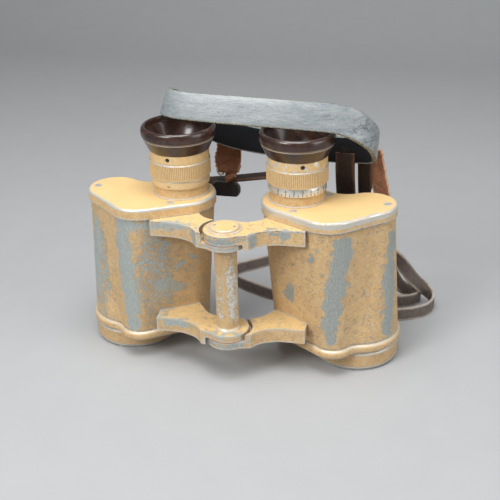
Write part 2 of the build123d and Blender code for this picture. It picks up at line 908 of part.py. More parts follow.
save("hinge_axle", hinge_axle())
save("hinge_tube", hinge_tube())
save("upper_hinge_cap", hinge_cap(upper_lug_levels[2], 1))
save("lower_hinge_cap", hinge_cap(lower_lug_levels[0], -1))
save("upper_hinge_washer", washer(upper_lug_levels[1]))
save("lower_hinge_washer", washer(lower_lug_levels[1]))

save("neck_pad", neck_pad())
save("pad_stud", pad_stud())
save("left_tab", hanging_piece(*left_tab))
save("right_tab", hanging_piece(*right_tab))
save("strap_keeper", hanging_piece(*strap_keeper))
save("right_strap", strap("right_strap", right_route))
save("strap_tail", strap("strap_tail", tail_route))
save("left_strap", strap("left_strap", left_route))
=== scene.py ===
import json
import math

import bmesh
import bpy
from mathutils import Matrix, Vector, noise
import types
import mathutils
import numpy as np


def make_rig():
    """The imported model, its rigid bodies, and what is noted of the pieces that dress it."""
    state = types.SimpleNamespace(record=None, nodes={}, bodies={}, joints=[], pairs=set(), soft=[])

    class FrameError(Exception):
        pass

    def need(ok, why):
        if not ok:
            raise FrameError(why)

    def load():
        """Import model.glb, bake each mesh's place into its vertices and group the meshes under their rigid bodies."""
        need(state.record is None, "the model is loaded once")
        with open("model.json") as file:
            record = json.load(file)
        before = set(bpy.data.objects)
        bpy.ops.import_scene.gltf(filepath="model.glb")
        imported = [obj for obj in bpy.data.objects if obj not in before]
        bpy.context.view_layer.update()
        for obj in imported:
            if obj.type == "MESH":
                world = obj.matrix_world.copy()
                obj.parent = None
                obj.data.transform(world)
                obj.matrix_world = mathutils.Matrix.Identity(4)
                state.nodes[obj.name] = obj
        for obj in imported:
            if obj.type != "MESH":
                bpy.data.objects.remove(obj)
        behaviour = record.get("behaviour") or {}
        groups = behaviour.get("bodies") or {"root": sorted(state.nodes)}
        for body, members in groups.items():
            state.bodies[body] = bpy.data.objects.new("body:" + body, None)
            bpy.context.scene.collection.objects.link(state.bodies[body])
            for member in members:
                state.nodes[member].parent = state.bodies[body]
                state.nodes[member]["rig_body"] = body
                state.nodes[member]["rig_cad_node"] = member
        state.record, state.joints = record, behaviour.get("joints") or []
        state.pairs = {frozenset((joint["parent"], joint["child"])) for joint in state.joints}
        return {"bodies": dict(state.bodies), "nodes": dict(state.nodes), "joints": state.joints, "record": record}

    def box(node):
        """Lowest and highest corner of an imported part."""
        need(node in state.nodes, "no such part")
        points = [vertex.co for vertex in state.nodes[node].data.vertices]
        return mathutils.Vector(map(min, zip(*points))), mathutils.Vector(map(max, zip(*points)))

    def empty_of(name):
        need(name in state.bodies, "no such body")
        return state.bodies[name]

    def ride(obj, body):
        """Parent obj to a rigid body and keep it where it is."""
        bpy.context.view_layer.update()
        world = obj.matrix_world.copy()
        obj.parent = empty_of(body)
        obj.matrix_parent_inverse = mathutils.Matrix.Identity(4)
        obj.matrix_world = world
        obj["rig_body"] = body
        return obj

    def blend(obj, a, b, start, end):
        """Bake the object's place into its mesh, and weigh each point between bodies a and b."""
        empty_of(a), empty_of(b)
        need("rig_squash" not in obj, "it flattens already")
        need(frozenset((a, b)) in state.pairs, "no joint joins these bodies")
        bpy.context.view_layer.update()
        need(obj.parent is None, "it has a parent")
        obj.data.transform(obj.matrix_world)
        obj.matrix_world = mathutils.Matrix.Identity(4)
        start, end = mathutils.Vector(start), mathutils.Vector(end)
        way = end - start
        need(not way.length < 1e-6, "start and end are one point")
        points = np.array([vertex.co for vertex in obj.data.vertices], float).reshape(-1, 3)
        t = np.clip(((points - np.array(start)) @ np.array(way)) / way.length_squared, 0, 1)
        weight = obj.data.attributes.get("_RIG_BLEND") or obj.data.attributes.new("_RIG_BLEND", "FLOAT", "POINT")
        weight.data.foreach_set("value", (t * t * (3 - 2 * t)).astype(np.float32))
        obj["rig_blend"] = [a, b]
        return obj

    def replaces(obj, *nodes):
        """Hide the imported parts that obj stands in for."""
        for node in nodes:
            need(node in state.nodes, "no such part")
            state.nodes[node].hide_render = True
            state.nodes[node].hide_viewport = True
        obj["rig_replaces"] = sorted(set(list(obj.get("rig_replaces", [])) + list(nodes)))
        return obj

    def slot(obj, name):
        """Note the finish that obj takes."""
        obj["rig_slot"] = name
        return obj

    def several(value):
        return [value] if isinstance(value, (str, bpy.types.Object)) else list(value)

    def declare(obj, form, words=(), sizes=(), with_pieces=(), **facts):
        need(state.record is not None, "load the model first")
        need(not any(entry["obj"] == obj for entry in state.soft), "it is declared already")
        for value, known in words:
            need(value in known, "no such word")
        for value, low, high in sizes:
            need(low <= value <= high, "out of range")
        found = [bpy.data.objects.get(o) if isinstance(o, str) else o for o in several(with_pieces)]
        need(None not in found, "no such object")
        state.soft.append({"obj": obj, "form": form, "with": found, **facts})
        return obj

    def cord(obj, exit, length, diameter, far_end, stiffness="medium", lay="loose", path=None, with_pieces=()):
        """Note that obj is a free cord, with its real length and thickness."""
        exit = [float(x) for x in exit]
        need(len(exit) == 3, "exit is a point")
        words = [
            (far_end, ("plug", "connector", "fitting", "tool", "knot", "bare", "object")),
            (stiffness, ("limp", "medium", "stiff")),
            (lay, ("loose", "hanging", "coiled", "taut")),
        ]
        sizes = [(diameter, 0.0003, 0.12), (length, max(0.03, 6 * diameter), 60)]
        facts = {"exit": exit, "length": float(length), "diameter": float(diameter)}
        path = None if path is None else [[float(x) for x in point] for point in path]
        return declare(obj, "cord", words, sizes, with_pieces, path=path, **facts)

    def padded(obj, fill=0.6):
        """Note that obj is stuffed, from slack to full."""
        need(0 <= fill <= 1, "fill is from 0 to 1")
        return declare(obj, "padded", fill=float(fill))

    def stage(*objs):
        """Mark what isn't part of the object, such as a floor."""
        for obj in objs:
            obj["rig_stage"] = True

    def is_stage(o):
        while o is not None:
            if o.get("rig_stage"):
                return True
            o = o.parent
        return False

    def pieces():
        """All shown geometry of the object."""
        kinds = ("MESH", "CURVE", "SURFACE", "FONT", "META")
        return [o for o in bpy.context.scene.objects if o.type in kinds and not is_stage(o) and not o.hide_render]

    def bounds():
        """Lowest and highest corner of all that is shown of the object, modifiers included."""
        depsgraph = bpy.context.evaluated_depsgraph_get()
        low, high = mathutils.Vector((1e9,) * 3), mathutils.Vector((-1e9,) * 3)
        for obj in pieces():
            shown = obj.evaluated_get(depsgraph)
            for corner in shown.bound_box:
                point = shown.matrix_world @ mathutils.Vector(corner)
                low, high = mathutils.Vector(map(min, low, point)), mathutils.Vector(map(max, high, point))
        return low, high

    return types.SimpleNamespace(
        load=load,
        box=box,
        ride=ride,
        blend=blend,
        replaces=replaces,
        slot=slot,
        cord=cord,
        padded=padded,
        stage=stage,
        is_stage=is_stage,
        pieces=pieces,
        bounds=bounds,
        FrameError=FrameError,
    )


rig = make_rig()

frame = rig.load()
cad_low, cad_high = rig.bounds()
MM = 0.001
HINGE_Y = sum(corner.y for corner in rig.box("hinge_tube")) / 2


# ---------- camera ----------
def make_camera():
    """Camera in front of the binoculars, a little to the right and above, in metres and radians."""
    place_at = (0.0934, -0.3749, 0.2386)
    yaw, pitch, roll = 0.22867, 0.44792, -0.0231
    focal_length = 66.2
    forward = Vector((-math.sin(yaw) * math.cos(pitch), math.cos(yaw) * math.cos(pitch), -math.sin(pitch)))
    level = Vector((math.cos(yaw), math.sin(yaw), 0))
    upward = level.cross(forward)
    right = math.cos(roll) * level + math.sin(roll) * upward
    up = -math.sin(roll) * level + math.cos(roll) * upward
    data = bpy.data.cameras.new("camera")
    data.lens = focal_length
    data.clip_start, data.clip_end = 0.01, 20
    camera = bpy.data.objects.new("camera", data)
    bpy.context.scene.collection.objects.link(camera)
    turn = Matrix((right, up, -forward)).transposed().to_4x4()
    camera.matrix_world = Matrix.Translation(place_at) @ turn
    bpy.context.scene.camera = camera


make_camera()


# ---------- mesh helpers ----------
def new_object(name, data):
    """Object with this data, linked to the scene."""
    piece = bpy.data.objects.new(name, data)
    bpy.context.scene.collection.objects.link(piece)
    return piece


def mesh_from(name, points, faces, wear=None, smooth_angle=40):
    """Mesh in metres from points in millimetres, with a wear value for each point."""
    mesh = bpy.data.meshes.new(name)
    mesh.from_pydata([tuple(c * MM for c in p) for p in points], [], faces)
    bm = bmesh.new()
    bm.from_mesh(mesh)
    bmesh.ops.recalc_face_normals(bm, faces=bm.faces)
    bm.to_mesh(mesh)
    bm.free()
    mesh.shade_smooth()
    mesh.set_sharp_from_angle(angle=math.radians(smooth_angle))
    if wear:
        mesh.attributes.new("wear", "FLOAT", "POINT").data.foreach_set("value", wear)
    return new_object(name, mesh)


def line_of(points, resolution=12):
    """Points of the smooth line that a NURBS spline with these control points follows."""
    route = nurbs("route", points, resolution)
    mesh = bpy.data.meshes.new_from_object(route)
    found = [vertex.co.copy() for vertex in mesh.vertices]
    bpy.data.meshes.remove(mesh)
    bpy.data.objects.remove(route)
    return found


def nurbs(name, points, resolution=12):
    """Curve object with one open spline, without thickness; points in millimetres."""
    data = bpy.data.curves.new(name, "CURVE")
    data.dimensions = "3D"
    data.resolution_u = resolution
    spline = data.splines.new("NURBS")
    spline.points.add(len(points) - 1)
    for control, point in zip(spline.points, points):
        control.co = (*(c * MM for c in point), 1)
    spline.order_u = 3
    spline.use_endpoint_u = True
    return new_object(name, data)


UV_PER_MM = 0.01


def swept(name, controls, sides, section, wear_of=None):
    """Band along a smooth line. Each control point has the direction of the band's width.
    The section is a closed loop of (across, along the width) places in millimetres.
    wear_of takes the share of the way along and the place in the section.
    Gives the piece, the line's points in metres and its length in millimetres."""
    line = [p / MM for p in line_of(controls)]
    shifted = [Vector(c) + Vector(s) for c, s in zip(controls, sides)]
    guide = [p / MM for p in line_of(shifted)]
    points, wear, uvs, faces = [], [], [], []
    n = len(section)
    travelled = 0.0
    total = sum((b - a).length for a, b in zip(line, line[1:]))
    for i, (here, other) in enumerate(zip(line, guide)):
        tangent = (line[min(i + 1, len(line) - 1)] - line[max(i - 1, 0)]).normalized()
        side = other - here
        side = (side - tangent * side.dot(tangent)).normalized()
        across = tangent.cross(side)
        travelled += (here - line[max(i - 1, 0)]).length
        for a, w in section:
            points.append(here + across * a + side * w)
            wear.append(wear_of(travelled / total, a, w) if wear_of else 0.0)
            uvs.append((travelled * UV_PER_MM, w * UV_PER_MM))
    for i in range(len(line) - 1):
        for j in range(n):
            k = (j + 1) % n
            faces.append((i * n + j, i * n + k, (i + 1) * n + k, (i + 1) * n + j))
    faces.append(tuple(range(n)))
    faces.append(tuple((len(line) - 1) * n + j for j in range(n)))
    piece = mesh_from(name, points, faces, wear)
    layer = piece.data.uv_layers.new(name="along")
    for loop in piece.data.loops:
        layer.data[loop.index].uv = uvs[loop.vertex_index]
    return piece, [list(p * MM) for p in line], total


def strap_section(width, thickness, steps=5):
    """Flat section with rounded edges and slightly crowned faces."""
    half, t = width / 2, thickness / 2
    inset, edge, crown = 0.35 * t, 0.55 * t, 0.12
    top = []
    for i in range(steps + 1):
        w = -half + inset + (width - 2 * inset) * i / steps
        top.append((t * (1 - crown * (2 * i / steps - 1) ** 2), w))
    bottom = [(-a, w) for a, w in reversed(top)]
    return top + [(edge, half), (-edge, half)] + bottom + [(-edge, -half), (edge, -half)]


def revolved(name, node, profile, segments=192, radius_at=None, wear_at=None):
    """Closed profile of (radius, height) in millimetres turned about the node's own middle."""
    low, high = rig.box(node)
    cx, cy = (low.x + high.x) / 2 / MM, (low.y + high.y) / 2 / MM
    points, faces, wear = [], [], []
    n = len(profile)
    for i in range(segments):
        angle = 2 * math.pi * i / segments
        for radius, height in profile:
            r = radius_at(radius, height, angle) if radius_at else radius
            points.append((cx + r * math.cos(angle), cy + r * math.sin(angle), height))
            wear.append(wear_at(radius, height, angle) if wear_at else 0.0)
    for i in range(segments):
        k = (i + 1) % segments
        for j in range(n):
            m = (j + 1) % n
            faces.append((i * n + j, k * n + j, k * n + m, i * n + m))
    return mesh_from(name, points, faces, wear, 35)


def drill(piece, centre, way, radius, depth=8):
    """Cut a round hole along way through centre (metres), radius and depth in millimetres."""
    bm = bmesh.new()
    turn = way.to_track_quat("Z", "Y").to_matrix().to_4x4()
    bmesh.ops.create_cone(
        bm, cap_ends=True, segments=32, radius1=radius * MM, radius2=radius * MM, depth=depth * MM,
        matrix=Matrix.Translation(centre) @ turn,
    )
    mesh = bpy.data.meshes.new("drill")
    bm.to_mesh(mesh)
    bm.free()
    tool = new_object("drill", mesh)
    cut = piece.modifiers.new("hole", "BOOLEAN")
    cut.object = tool
    cut.operation = "DIFFERENCE"
    cut.solver = "EXACT"
    bpy.context.view_layer.update()
    result = bpy.data.meshes.new_from_object(piece.evaluated_get(bpy.context.evaluated_depsgraph_get()))
    piece.modifiers.clear()
    piece.data = result
    bpy.data.objects.remove(tool)


def rounded(profile, rounds=2, share=0.25):
    """The closed profile with its corners cut, which rounds them."""
    for _ in range(rounds):
        cut = []
        for a, b in zip(profile, profile[1:] + profile[:1]):
            cut.append(tuple(p + (q - p) * share for p, q in zip(a, b)))
            cut.append(tuple(p + (q - p) * (1 - share) for p, q in zip(a, b)))
        profile = cut
    return profile


def place(piece, body, slot_name, material, *nodes):
    """Let a piece follow its body or bodies, and give its slot, material and the nodes it replaces."""
    if isinstance(body, str):
        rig.ride(piece, body)
    else:
        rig.blend(piece, *body)
    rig.slot(piece, slot_name)
    piece.data.materials.clear()
    piece.data.materials.append(material)
    if nodes:
        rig.replaces(piece, *nodes)


# ---------- materials ----------
class Shader:
    """A node material with short ways to add and join its nodes."""

    def __init__(self, name, **sockets):
        self.material = bpy.data.materials.new(name)
        self.material.use_nodes = True
        self.tree = self.material.node_tree
        self.surface = self.tree.nodes["Principled BSDF"]
        for key, value in sockets.items():
            self.set(key.replace("_", " "), value)

    def put(self, socket, value):
        """Link or set a socket."""
        if isinstance(value, bpy.types.NodeSocket):
            self.tree.links.new(value, socket)
        else:
            socket.default_value = value

    def set(self, socket, value):
        """Link or set a socket of the surface shader."""
        self.put(self.surface.inputs[socket], value)

    def add(self, kind, *inputs, output=0, **settings):
        """New node with these inputs in order; gives the output asked for."""
        node = self.tree.nodes.new(kind)
        for key, value in settings.items():
            setattr(node, key, value)
        for index, value in enumerate(inputs):
            if value is not None:
                self.put(node.inputs[index], value)
        return node.outputs[output]

    def math(self, operation, a, b=0.0, clamp=False):
        return self.add("ShaderNodeMath", a, b, operation=operation, use_clamp=clamp)

    def times(self, a, b, clamp=False):
        return self.math("MULTIPLY", a, b, clamp)

    def plus(self, a, b):
        return self.math("ADD", a, b)

    def minus(self, a, b):
        return self.math("SUBTRACT", a, b)

    def vector(self, operation, a, b=(0, 0, 0), output=0):
        return self.add("ShaderNodeVectorMath", a, b, operation=operation, output=output)

    def place(self):
        """Object coordinates in millimetres."""
        found = self.add("ShaderNodeTexCoord", output=3)
        return self.vector("MULTIPLY", found, (1000, 1000, 1000))

    def height(self):
        """Height above the ground in millimetres."""
        return self.add("ShaderNodeSeparateXYZ", self.place(), output=2)

    def wear(self):
        """The wear value that the mesh carries at each point."""
        return self.add("ShaderNodeAttribute", attribute_name="wear", output=2)

    def noise(self, where, scale, detail=4.0, roughness=0.6, distortion=0.0, output=0):
        node = self.tree.nodes.new("ShaderNodeTexNoise")
        self.put(node.inputs["Vector"], where)
        amounts = {"Scale": scale, "Detail": detail, "Roughness": roughness, "Distortion": distortion}
        for key, value in amounts.items():
            node.inputs[key].default_value = value
        return node.outputs[output]

    def cells(self, where, scale, feature="DISTANCE_TO_EDGE"):
        node = self.tree.nodes.new("ShaderNodeTexVoronoi")
        node.feature = feature
        self.put(node.inputs["Vector"], where)
        node.inputs["Scale"].default_value = scale
        return node.outputs["Distance"]

    def step(self, value, low, high):
        """0 below low, 1 above high, smooth between; low may be the larger."""
        node = self.tree.nodes.new("ShaderNodeMapRange")
        node.interpolation_type = "SMOOTHSTEP"
        self.put(node.inputs["Value"], value)
        flip = low > high
        node.inputs["From Min"].default_value = high if flip else low
        node.inputs["From Max"].default_value = low if flip else high
        node.inputs["To Min"].default_value = 1.0 if flip else 0.0
        node.inputs["To Max"].default_value = 0.0 if flip else 1.0
        return node.outputs["Result"]

    def mix(self, share, a, b):
        node = self.tree.nodes.new("ShaderNodeMix")
        node.data_type = "RGBA"
        self.put(node.inputs[0], share)
        self.put(node.inputs[6], (*a, 1) if isinstance(a, tuple) else a)
        self.put(node.inputs[7], (*b, 1) if isinstance(b, tuple) else b)
        return node.outputs[2]

    def tint(self, base, mask, share, colour):
        """The base with a colour over it where the mask is, at most by share."""
        return self.mix(self.times(mask, share), base, colour)

    def shaken(self, base, where, scale, by):
        """The base place moved about by soft noise, by up to this many millimetres."""
        shift = self.noise(where, scale, 3, 0.5, output=1)
        return self.vector("ADD", base, self.vector("MULTIPLY", shift, (by, by, by)))

    def most(self, *values):
        """The largest of the values."""
        found = values[0]
        for value in values[1:]:
            found = self.math("MAXIMUM", found, value)
        return found

    def bump(self, height, distance, strength=1.0, base=None):
        node = self.tree.nodes.new("ShaderNodeBump")
        node.inputs["Strength"].default_value = strength
        node.inputs["Distance"].default_value = distance * MM
        self.put(node.inputs["Height"], height)
        if base is not None:
            self.put(node.inputs["Normal"], base)
        return node.outputs["Normal"]

    def edges(self, radius):
        """1 at edges and 0 on open surfaces, from how a bevel would turn the normal."""
        bevel = self.tree.nodes.new("ShaderNodeBevel")
        bevel.samples = 4
        bevel.inputs["Radius"].default_value = radius * MM
        straight = self.add("ShaderNodeNewGeometry", output=1)
        same = self.vector("DOT_PRODUCT", bevel.outputs[0], straight, output=1)
        flat, sharp = 0.992, 0.93
        return self.step(same, flat, sharp)

    def up(self):
        """How far the surface faces up, from -1 to 1."""
        normal = self.add("ShaderNodeNewGeometry", output=1)
        return self.add("ShaderNodeSeparateXYZ", normal, output=2)

    def spot(self, where, centre, reach):
        """Falls from 1 in the middle to 0 at one reach (millimetres along each axis)."""
        away = self.vector("SUBTRACT", where, centre)
        away = self.vector("DIVIDE", away, reach)
        return self.minus(1.0, self.vector("LENGTH", away, output=1))


# colours of the enamel
SAND = (0.68, 0.475, 0.215)
ORANGE = (0.60, 0.385, 0.17)
UMBER = (0.52, 0.30, 0.11)
PALE = (0.62, 0.47, 0.31)
RUST = (0.42, 0.20, 0.06)
DARK_GRIT = (0.36, 0.21, 0.085)
PALE_GRIT = (0.72, 0.60, 0.42)
HAZE = (0.42, 0.395, 0.32)
DIRT = (0.06, 0.04, 0.025)
# dark line round paint flakes: dirt caught at the chip's edge, and the painted shade of that edge
FLAKE_EDGE_DIRT_AND_SHADE = (0.27, 0.17, 0.075)
SPECK = (0.12, 0.085, 0.05)
HALO = (0.36, 0.34, 0.28)
# colours of the alloy below it
GREY = (0.245, 0.27, 0.262)
BRIGHT = (0.60, 0.60, 0.555)
ALLOY_STAIN = (0.40, 0.35, 0.25)


def lost_paint(s, where, bare, flaky, base_flake):
    """How deep a place lies in a bare spot and how readily its paint flakes, from 0 to 1.
    Soft noise moves the spots' borders. A part with bare spots flakes a little everywhere."""
    shift = s.noise(where, 0.16, 5, 0.65, output=1)
    shift = s.vector("MULTIPLY", s.vector("SUBTRACT", shift, (0.5, 0.5, 0.5)), (9, 9, 14))
    here = s.vector("ADD", s.place(), shift)
    gone = 0.0
    for centre, reach in bare:
        gone = s.most(s.spot(here, centre, reach), gone)
    zone = base_flake
    for centre, reach, strength in flaky:
        near = s.step(s.spot(here, centre, reach), -0.25, 0.45)
        zone = s.most(s.times(near, strength), zone)
    if bare:
        zone = s.most(zone, s.times(s.step(gone, -0.75, 0.15), 0.42))
    return gone, zone


def rubbed_metal(s, where, mixed, bands, rim):
    """Bright metal along edges, in bands by height on upright faces, and on rounded rims."""
    rubbed = s.times(s.edges(1.9), s.step(mixed, 0.38, 0.52))
    for level, reach, ragged_by in bands:
        near = s.math("ABSOLUTE", s.minus(s.height(), level))
        near = s.minus(1.0, s.math("DIVIDE", near, reach))
        near = s.plus(near, s.times(s.minus(mixed, 0.46), ragged_by))
        beside = s.step(s.up(), 0.93, 0.8)
        rubbed = s.most(rubbed, s.times(s.times(s.step(near, 0.15, 0.6), beside), 0.85))
    if rim:
        facing = s.up()
        band = s.times(s.step(facing, 0.0, 0.2), s.step(facing, 0.985, 0.9))
        band = s.times(band, s.step(s.noise(where, 0.11, 4, 0.6), 0.56 - 0.2 * rim, 0.66 - 0.2 * rim))
        rubbed = s.most(rubbed, band)
    return rubbed


def enamel(s, where, zone, brown, dirt):
    """Colour of the paint: even on top, browner and mottled on upright faces, dirty along joints."""
    upright = s.step(s.up(), 0.7, 0.2)
    tone = s.noise(where, 0.09, 5, 0.6)
    warm = s.times(s.plus(s.step(tone, 0.35, 0.7), upright), brown, clamp=True)
    paint = s.mix(warm, SAND, ORANGE)
    mottles = (
        # noise, where it starts and is full, share, colour
        ((0.3, 5, 0.7, 0.5), 0.46, 0.58, 0.55, UMBER),
        ((0.7, 6, 0.75), 0.48, 0.70, 0.6, PALE),
        ((1.1, 6, 0.75, 0.6), 0.49, 0.64, 0.34, RUST),
        ((2.4, 7, 0.85), 0.50, 0.60, 0.6, DARK_GRIT),
        ((2.4, 7, 0.85), 0.47, 0.38, 0.6, PALE_GRIT),
    )
    for grain, start, full, share, colour in mottles:
        mask = s.times(s.step(s.noise(where, *grain), start, full), upright)
        paint = s.tint(paint, mask, share, colour)
    haze = s.step(s.noise(where, 1.35, 7, 0.8, 0.8), 0.47, 0.62)
    thin = s.plus(s.times(zone, 0.7), 0.1)
    paint = s.mix(s.times(s.times(haze, thin), upright), paint, HAZE)
    for level, reach in dirt:
        near = s.math("ABSOLUTE", s.minus(s.height(), level))
        mask = s.times(s.step(near, reach, reach * 0.3), upright)
        paint = s.tint(paint, mask, 0.7, DIRT)
    return paint


def worn_paint(
    name, bare=(), flaky=(), base_flake=0.0, rim=0.0, seed=0.0, brown=0.5, dirt=(), bands=(), metal_tone=GREY
):
    """Sand-coloured enamel over grey alloy. Places and heights are in millimetres.
    bare: (centre, reach) of the spots without paint.
    flaky: (centre, reach, strength) of the places where it flakes.
    dirt: (height, reach) of dark lines.
    bands: (height, reach, raggedness) of bright worn bands."""
    s = Shader(name)
    where = s.vector("ADD", s.place(), (seed, seed * 0.7, 0))
    gone, zone = lost_paint(s, where, bare, flaky, base_flake)
    coarse = s.noise(where, 0.42, 7, 0.72, 1.2)
    fine = s.noise(where, 1.9, 5, 0.7, 0.4)
    mixed = s.plus(s.times(coarse, 0.72), s.times(fine, 0.28))
    worn_by = s.plus(mixed, s.times(zone, 0.17))
    # ring just outside each flake, darkened below: dirt plus painted shade of the chip's edge
    outline = s.step(worn_by, 0.600, 0.636)
    flakes = s.step(worn_by, 0.636, 0.662)
    patch, halo = 0.0, 0.0
    if bare:
        ragged = s.plus(gone, s.times(s.minus(mixed, 0.5), 1.3))
        patch = s.step(ragged, 0.04, 0.26)
        halo = s.step(gone, 0.0, 0.14)
    rubbed = rubbed_metal(s, where, mixed, bands, rim)
    metal = s.most(s.times(patch, 0.96), flakes, rubbed)

    paint = enamel(s, where, zone, brown, dirt)
    # dark line round each flake: dirt and painted shade along the chip's edge
    paint = s.tint(paint, outline, 0.55, FLAKE_EDGE_DIRT_AND_SHADE)
    specks = s.step(s.noise(where, 2.6, 3, 0.6), 0.66, 0.71)
    specks = s.times(specks, s.step(s.noise(where, 0.15, 2, 0.5), 0.42, 0.6))
    paint = s.tint(paint, specks, 0.75, SPECK)
    paint = s.tint(paint, halo, 0.3, HALO)

    scratches = s.noise(s.vector("MULTIPLY", where, (1.0, 1.0, 0.16)), 3.2, 4, 0.7)
    alloy = s.mix(s.step(scratches, 0.38, 0.66), metal_tone, tuple(c * 1.4 for c in metal_tone))
    alloy = s.tint(alloy, s.step(fine, 0.5, 0.68), 0.4, ALLOY_STAIN)
    alloy = s.mix(rubbed, alloy, BRIGHT)

    s.set("Base Color", s.mix(metal, paint, alloy))
    s.set("Metallic", s.times(metal, 0.4))
    dull = s.plus(0.5, s.times(fine, 0.2))
    shiny = s.minus(0.5, s.times(rubbed, 0.16))
    s.set("Roughness", s.add("ShaderNodeMix", metal, None, dull, shiny))
    height = s.plus(s.minus(1.0, metal), s.times(fine, 0.5))
    height = s.minus(height, s.times(specks, 0.6))
    s.set("Normal", s.bump(height, 0.12, 0.7))
    return s.material


def bare_metal(name, colour, roughness, scratch=0.5, shine=0.9):
    """Metal with fine scratches and slight stains."""
    s = Shader(name, Metallic=shine)
    where = s.place()
    lines = s.noise(s.vector("MULTIPLY", where, (0.6, 0.6, 3.0)), 2.5, 5, 0.7)
    stain = s.noise(where, 0.8, 4, 0.6)
    dark = tuple(c * 0.55 for c in colour)
    s.set("Base Color", s.mix(s.times(s.step(stain, 0.45, 0.7), 0.6), colour, dark))
    s.set("Roughness", s.plus(roughness, s.times(lines, 0.25)))
    s.set("Normal", s.bump(lines, 0.05, scratch))
    return s.material


def leather(name, colour, worn, roughness, grain=1.6, crack=0.35, fibre=0.0):
    """Leather: pebbled grain, creases, and a paler tone where the wear value or noise is high."""
    s = Shader(name, Specular_IOR_Level=0.5)
    where = s.place()
    pebble = s.cells(where, grain)
    mottle = s.noise(where, 0.25, 6, 0.7)
    fuzz = s.noise(where, 3.5, 4, 0.75)
    wear = s.wear()
    rub = s.step(s.plus(wear, s.times(s.minus(mottle, 0.5), 1.3)), 0.35, 0.95)
    base = s.mix(s.step(mottle, 0.4, 0.68), colour, tuple(c * 0.6 for c in colour))
    base = s.mix(s.times(s.step(fuzz, 0.45, 0.7), 0.25 + fibre), base, worn)
    s.set("Base Color", s.mix(rub, base, worn))
    s.set("Roughness", s.plus(roughness, s.times(fuzz, 0.2)))
    creases = s.cells(s.shaken(where, where, 0.3, 4), 0.35)
    first = s.bump(s.step(creases, 0.0, 0.08), 0.2, crack)
    second = s.bump(s.step(pebble, 0.0, 0.3), 0.08, 0.5, first)
    s.set("Normal", s.bump(fuzz, 0.12 + 0.5 * fibre, 0.5, second))
    return s.material


def glazed_leather(name):
    """Black leather with a painted grey sheen on its polished outer face: a light grey base colour that stands in for
    reflected light. Pale, cracked cut edges.
    """
    s = Shader(name, Coat_Roughness=0.25)
    where = s.place()
    wear = s.wear()
    cloud = s.noise(s.vector("MULTIPLY", where, (0.5, 0.8, 2.2)), 0.16, 7, 0.75, 0.3)
    fine = s.noise(where, 1.3, 6, 0.75)
    outer = s.step(wear, 0.25, 0.45)
    s.set("Coat Weight", s.times(outer, 0.25))
    rim = s.step(wear, 0.6, 0.9)
    # painted sheen: a grey base colour on the outer face stands in for the lamps' reflection; streaks darken it,
    # flecks lighten it, and cracks darken it at the bend
    painted_sheen = s.mix(s.step(cloud, 0.38, 0.66), (0.27, 0.29, 0.288), (0.185, 0.21, 0.225))
    streaks = s.noise(s.vector("MULTIPLY", where, (0.25, 0.4, 2.6)), 0.9, 5, 0.7)
    painted_sheen = s.mix(s.times(s.step(streaks, 0.5, 0.68), 0.6), painted_sheen, (0.075, 0.09, 0.105))
    painted_sheen = s.mix(s.times(s.step(fine, 0.52, 0.7), 0.5), painted_sheen, (0.44, 0.45, 0.43))
    wrinkled = s.vector("MULTIPLY", where, (0.5, 0.5, 1.2))
    cracks = s.step(s.cells(s.shaken(wrinkled, where, 0.5, 3), 0.4), 0.05, 0.0)
    bend = s.step(s.spot(where, (57, 6, 108), (13, 12, 12)), 0.0, 0.5)
    cracks = s.times(cracks, s.times(s.most(bend, 0.12), s.step(cloud, 0.4, 0.55)))
    painted_sheen = s.mix(s.times(cracks, 0.8), painted_sheen, (0.03, 0.028, 0.025))
    colour = s.mix(outer, (0.004, 0.005, 0.008), painted_sheen)
    edge = s.mix(s.step(fine, 0.4, 0.6), (0.30, 0.29, 0.22), (0.08, 0.07, 0.05))
    s.set("Base Color", s.mix(rim, colour, edge))
    dull = s.minus(0.86, s.times(outer, 0.5))
    s.set("Roughness", s.plus(dull, s.times(fine, 0.25)))
    first = s.bump(s.times(cracks, -1.0), 0.3, 0.8)
    s.set("Normal", s.bump(s.plus(fine, s.times(cloud, 2.0)), 0.10, 0.45, first))
    return s.material


def bakelite(name):
    """Dark brown moulded resin, glossy where hands have polished it, dusty in the bowl."""
    s = Shader(name, Coat_Weight=0.35, Coat_Roughness=0.14)
    where = s.place()
    swirl = s.noise(where, 0.12, 5, 0.6, 2.0)
    dust = s.noise(where, 1.4, 5, 0.7)
    wear = s.wear()
    base = s.mix(s.step(swirl, 0.35, 0.65), (0.016, 0.007, 0.005), (0.052, 0.021, 0.012))
    rub = s.step(s.plus(wear, s.times(s.minus(dust, 0.5), 0.8)), 0.45, 0.8)
    s.set("Base Color", s.mix(s.times(rub, 0.8), base, (0.46, 0.37, 0.29)))
    s.set("Roughness", s.plus(0.18, s.times(dust, 0.25)))
    s.set("Normal", s.bump(dust, 0.05, 0.4))
    return s.material


def glass(name):
    """Coated lens and prism glass with a little dust."""
    s = Shader(name, Transmission_Weight=0.9, IOR=1.52, Coat_Weight=0.3, Coat_Roughness=0.02)
    where = s.place()
    dust = s.noise(where, 1.2, 5, 0.7)
    s.set("Base Color", s.mix(s.step(dust, 0.45, 0.8), (0.93, 0.97, 0.94), (0.75, 0.8, 0.76)))
    s.set("Roughness", s.times(s.step(dust, 0.5, 0.9), 0.25))
    return s.material


def fibre_washer(name):
    """Pressed red fibre of the hinge washers."""
    s = Shader(name)
    grain = s.noise(s.place(), 2.0, 4, 0.7)
    s.set("Base Color", s.mix(s.step(grain, 0.35, 0.7), (0.20, 0.035, 0.02), (0.36, 0.10, 0.05)))
    s.set("Roughness", s.plus(0.5, s.times(grain, 0.3)))
    s.set("Normal", s.bump(grain, 0.05, 0.5))
    return s.material


